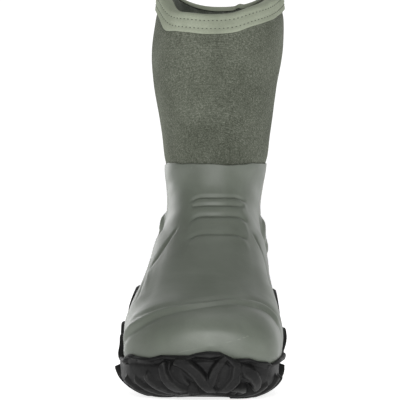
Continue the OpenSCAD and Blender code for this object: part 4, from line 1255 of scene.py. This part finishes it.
# the bottom between the two ground edges
NBOT = 96
ff = np.linspace(0, 1, NBOT + 2)[1:-1]
eL = np.stack([SL["C"][:, 0] - SL["N"][:, 0] * SL["ins"][:, -1], SL["C"][:, 1] - SL["N"][:, 1] * SL["ins"][:, -1]], -1)
eM = np.stack([SM["C"][:, 0] - SM["N"][:, 0] * SM["ins"][:, -1], SM["C"][:, 1] - SM["N"][:, 1] * SM["ins"][:, -1]], -1)
BX = eM[:, None, 0] * (1 - ff) + eL[:, None, 0] * ff
BY = eM[:, None, 1] * (1 - ff) + eL[:, None, 1] * ff
span = np.linalg.norm(eM - eL, axis=1)
hm_b = -ff[None, :] * span[:, None]
hl_b = -(1 - ff)[None, :] * span[:, None]
Wm = np.repeat(SM["w"][:, None], NBOT, 1)
Wl = np.repeat(SL["w"][:, None], NBOT, 1)
use_m = ff < 0.5
mask_b = np.zeros(BX.shape)
allb = np.ones(BX.shape, bool)
mask_b = np.minimum(1.0, np.maximum(lug_mask(1, Wm, hm_b, BX, BY, allb), lug_mask(-1, Wl, hl_b, BX, BY, np.zeros(BX.shape, bool))))
spb = spring(BY)
cup = 0.7 * (1 - (2 * ff - 1) ** 2)[None, :] * smooth(span, 10, 60)[:, None]
Pb = np.stack([BX, BY, BX * 0], -1)
BZ = spb + (1 - mask_b) * 5.6 + cup + 0.25 * (vnoise(Pb, 8, 31) - 0.5) * mask_b
BZ = np.maximum(BZ, 0.0)
Pb[..., 2] = BZ
NFL = 10
fl = np.linspace(0, 1, NFL + 2)[1:-1]
FLR = IL[:, -1][:, None, :] * (1 - fl[None, :, None]) + IM[:, -1][:, None, :] * fl[None, :, None]
# one closed loop per section: medial outer wall down, bottom, lateral wall up, lateral inner down, floor, medial inner up
nW, nI = PM.shape[1], IM.shape[1]
for e in (0, -1):
    PL[e] = PM[e]
    IL[e] = IM[e]
    Pb[e] = PM[e, -1]
    FLR[e] = IM[e, -1]
LOOP = np.concatenate([PM, Pb, PL[:, ::-1], IL, FLR, IM[:, ::-1]], axis=1)
ns, nl = LOOP.shape[:2]
V = LOOP.reshape(-1, 3)
same = np.arange(ns * nl)
for sec in (0, ns - 1):
    o0 = sec * nl
    same[o0 + nW:o0 + nW + NBOT] = o0 + nW - 1
    k = np.arange(nW)
    same[o0 + nW + NBOT + k] = o0 + nW - 1 - k
    oi = o0 + 2 * nW + NBOT
    same[oi + nI:oi + nI + NFL] = oi + nI - 1
    k = np.arange(nI)
    same[oi + nI + NFL + k] = oi + nI - 1 - k
q = same[wrap_faces(ns, nl)[:(ns - 1) * nl]]
quads, tris = [], []
eq = q == np.roll(q, -1, axis=1)
cnt = eq.sum(1)
quads = q[cnt == 0]
one = np.where(cnt == 1)[0]
tris = np.array([[v for k, v in enumerate(q[i]) if not eq[i][k]] for i in one])
used, inv = np.unique(np.concatenate([quads.ravel(), tris.ravel()]), return_inverse=True)
quads = inv[:quads.size].reshape(-1, 4)
tris = inv[quads.size:].reshape(-1, 3)
outsole = make("outsole_lugged", V[used], [quads, tris], MAT["black"])
import bmesh

# ------------------------------------------------------------------ footbed
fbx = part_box("footbed_foam")


def from_node(name, node, mat, sub=2, crown=0.0, fuzz=0.0, lift=0.0):
    """A finer copy of a soft node's solid: subdivided, its faces relaxed and crowned, its edges rounded."""
    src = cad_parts[node]
    me = src.data.copy()
    me.name = name
    bm = bmesh.new()
    bm.from_mesh(me)
    bmesh.ops.remove_doubles(bm, verts=bm.verts, dist=0.00001)
    bmesh.ops.recalc_face_normals(bm, faces=bm.faces)
    bmesh.ops.subdivide_edges(bm, edges=bm.edges, cuts=sub, use_grid_fill=True)
    for _ in range(3):
        bmesh.ops.smooth_vert(bm, verts=bm.verts, factor=0.35, use_axis_x=True, use_axis_y=True, use_axis_z=True)
    bm.normal_update()
    P = np.array([v.co[:] for v in bm.verts]) / MM
    n = vnoise(P, 3.0, 41) - 0.5
    n2 = vnoise(P, 24.0, 42) - 0.5
    for v, a, b in zip(bm.verts, n, n2):
        v.co += v.normal * float((fuzz * a + crown * b) * MM)
        v.co.z += lift * MM
    bm.to_mesh(me)
    bm.free()
    me.materials.clear()
    me.materials.append(mat)
    co = np.zeros(len(me.vertices) * 3, np.float32)
    me.vertices.foreach_get("co", co)
    at = me.attributes.get("rest") or me.attributes.new("rest", "FLOAT_VECTOR", "POINT")
    at.data.foreach_set("vector", co)
    me.polygons.foreach_set("use_smooth", np.full(len(me.polygons), True))
    o = bpy.data.objects.new(name, me)
    o.matrix_world = src.matrix_world.copy()
    scene.collection.objects.link(o)
    return o


bed_foam = from_node("footbed_pad", "footbed_foam", MAT["footbed_foam"], 2, 0.0, 0.05)
bed_cover = from_node("footbed_fleece", "footbed_cover", MAT["footbed_cover"], 4, 0.0, 0.35)

# ------------------------------------------------------------------ what moves with what
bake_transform(boot_shell)
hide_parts("shell_foot", "shell_ankle_panel", "shell_collar", "instep_ribs", "toe_bumper", "heel_counter", "quarter_lateral", "quarter_medial", "ankle_guard_lateral", "ankle_guard_medial")
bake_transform(boot_foam)
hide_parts("foam_foot", "foam_ankle_panel", "foam_shaft")
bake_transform(boot_lining)
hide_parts("lining_foot", "lining_ankle_panel", "lining_shaft")
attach(shaft_knit, "shaft")
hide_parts("shaft_fabric")
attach(topline, "shaft")
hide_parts("topline_binding")
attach(stitches, "shaft")
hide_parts("binding_stitch_upper", "binding_stitch_lower")
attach(back_tape, "shaft")
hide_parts("back_seam_tape")
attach(inner_tape, "shaft")
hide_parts("inner_seam_tape")
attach(outsole, "foot")
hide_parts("outsole")
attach(bed_foam, "footbed")
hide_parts("footbed_foam")
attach(bed_cover, "footbed")
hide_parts("footbed_cover")

for node, key in (("midsole", "eva"), ("shank", "steel"), ("lasting_board", "board"), ("thermal_felt", "felt")):
    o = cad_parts[node]
    o.data.materials.clear()
    o.data.materials.append(MAT[key])
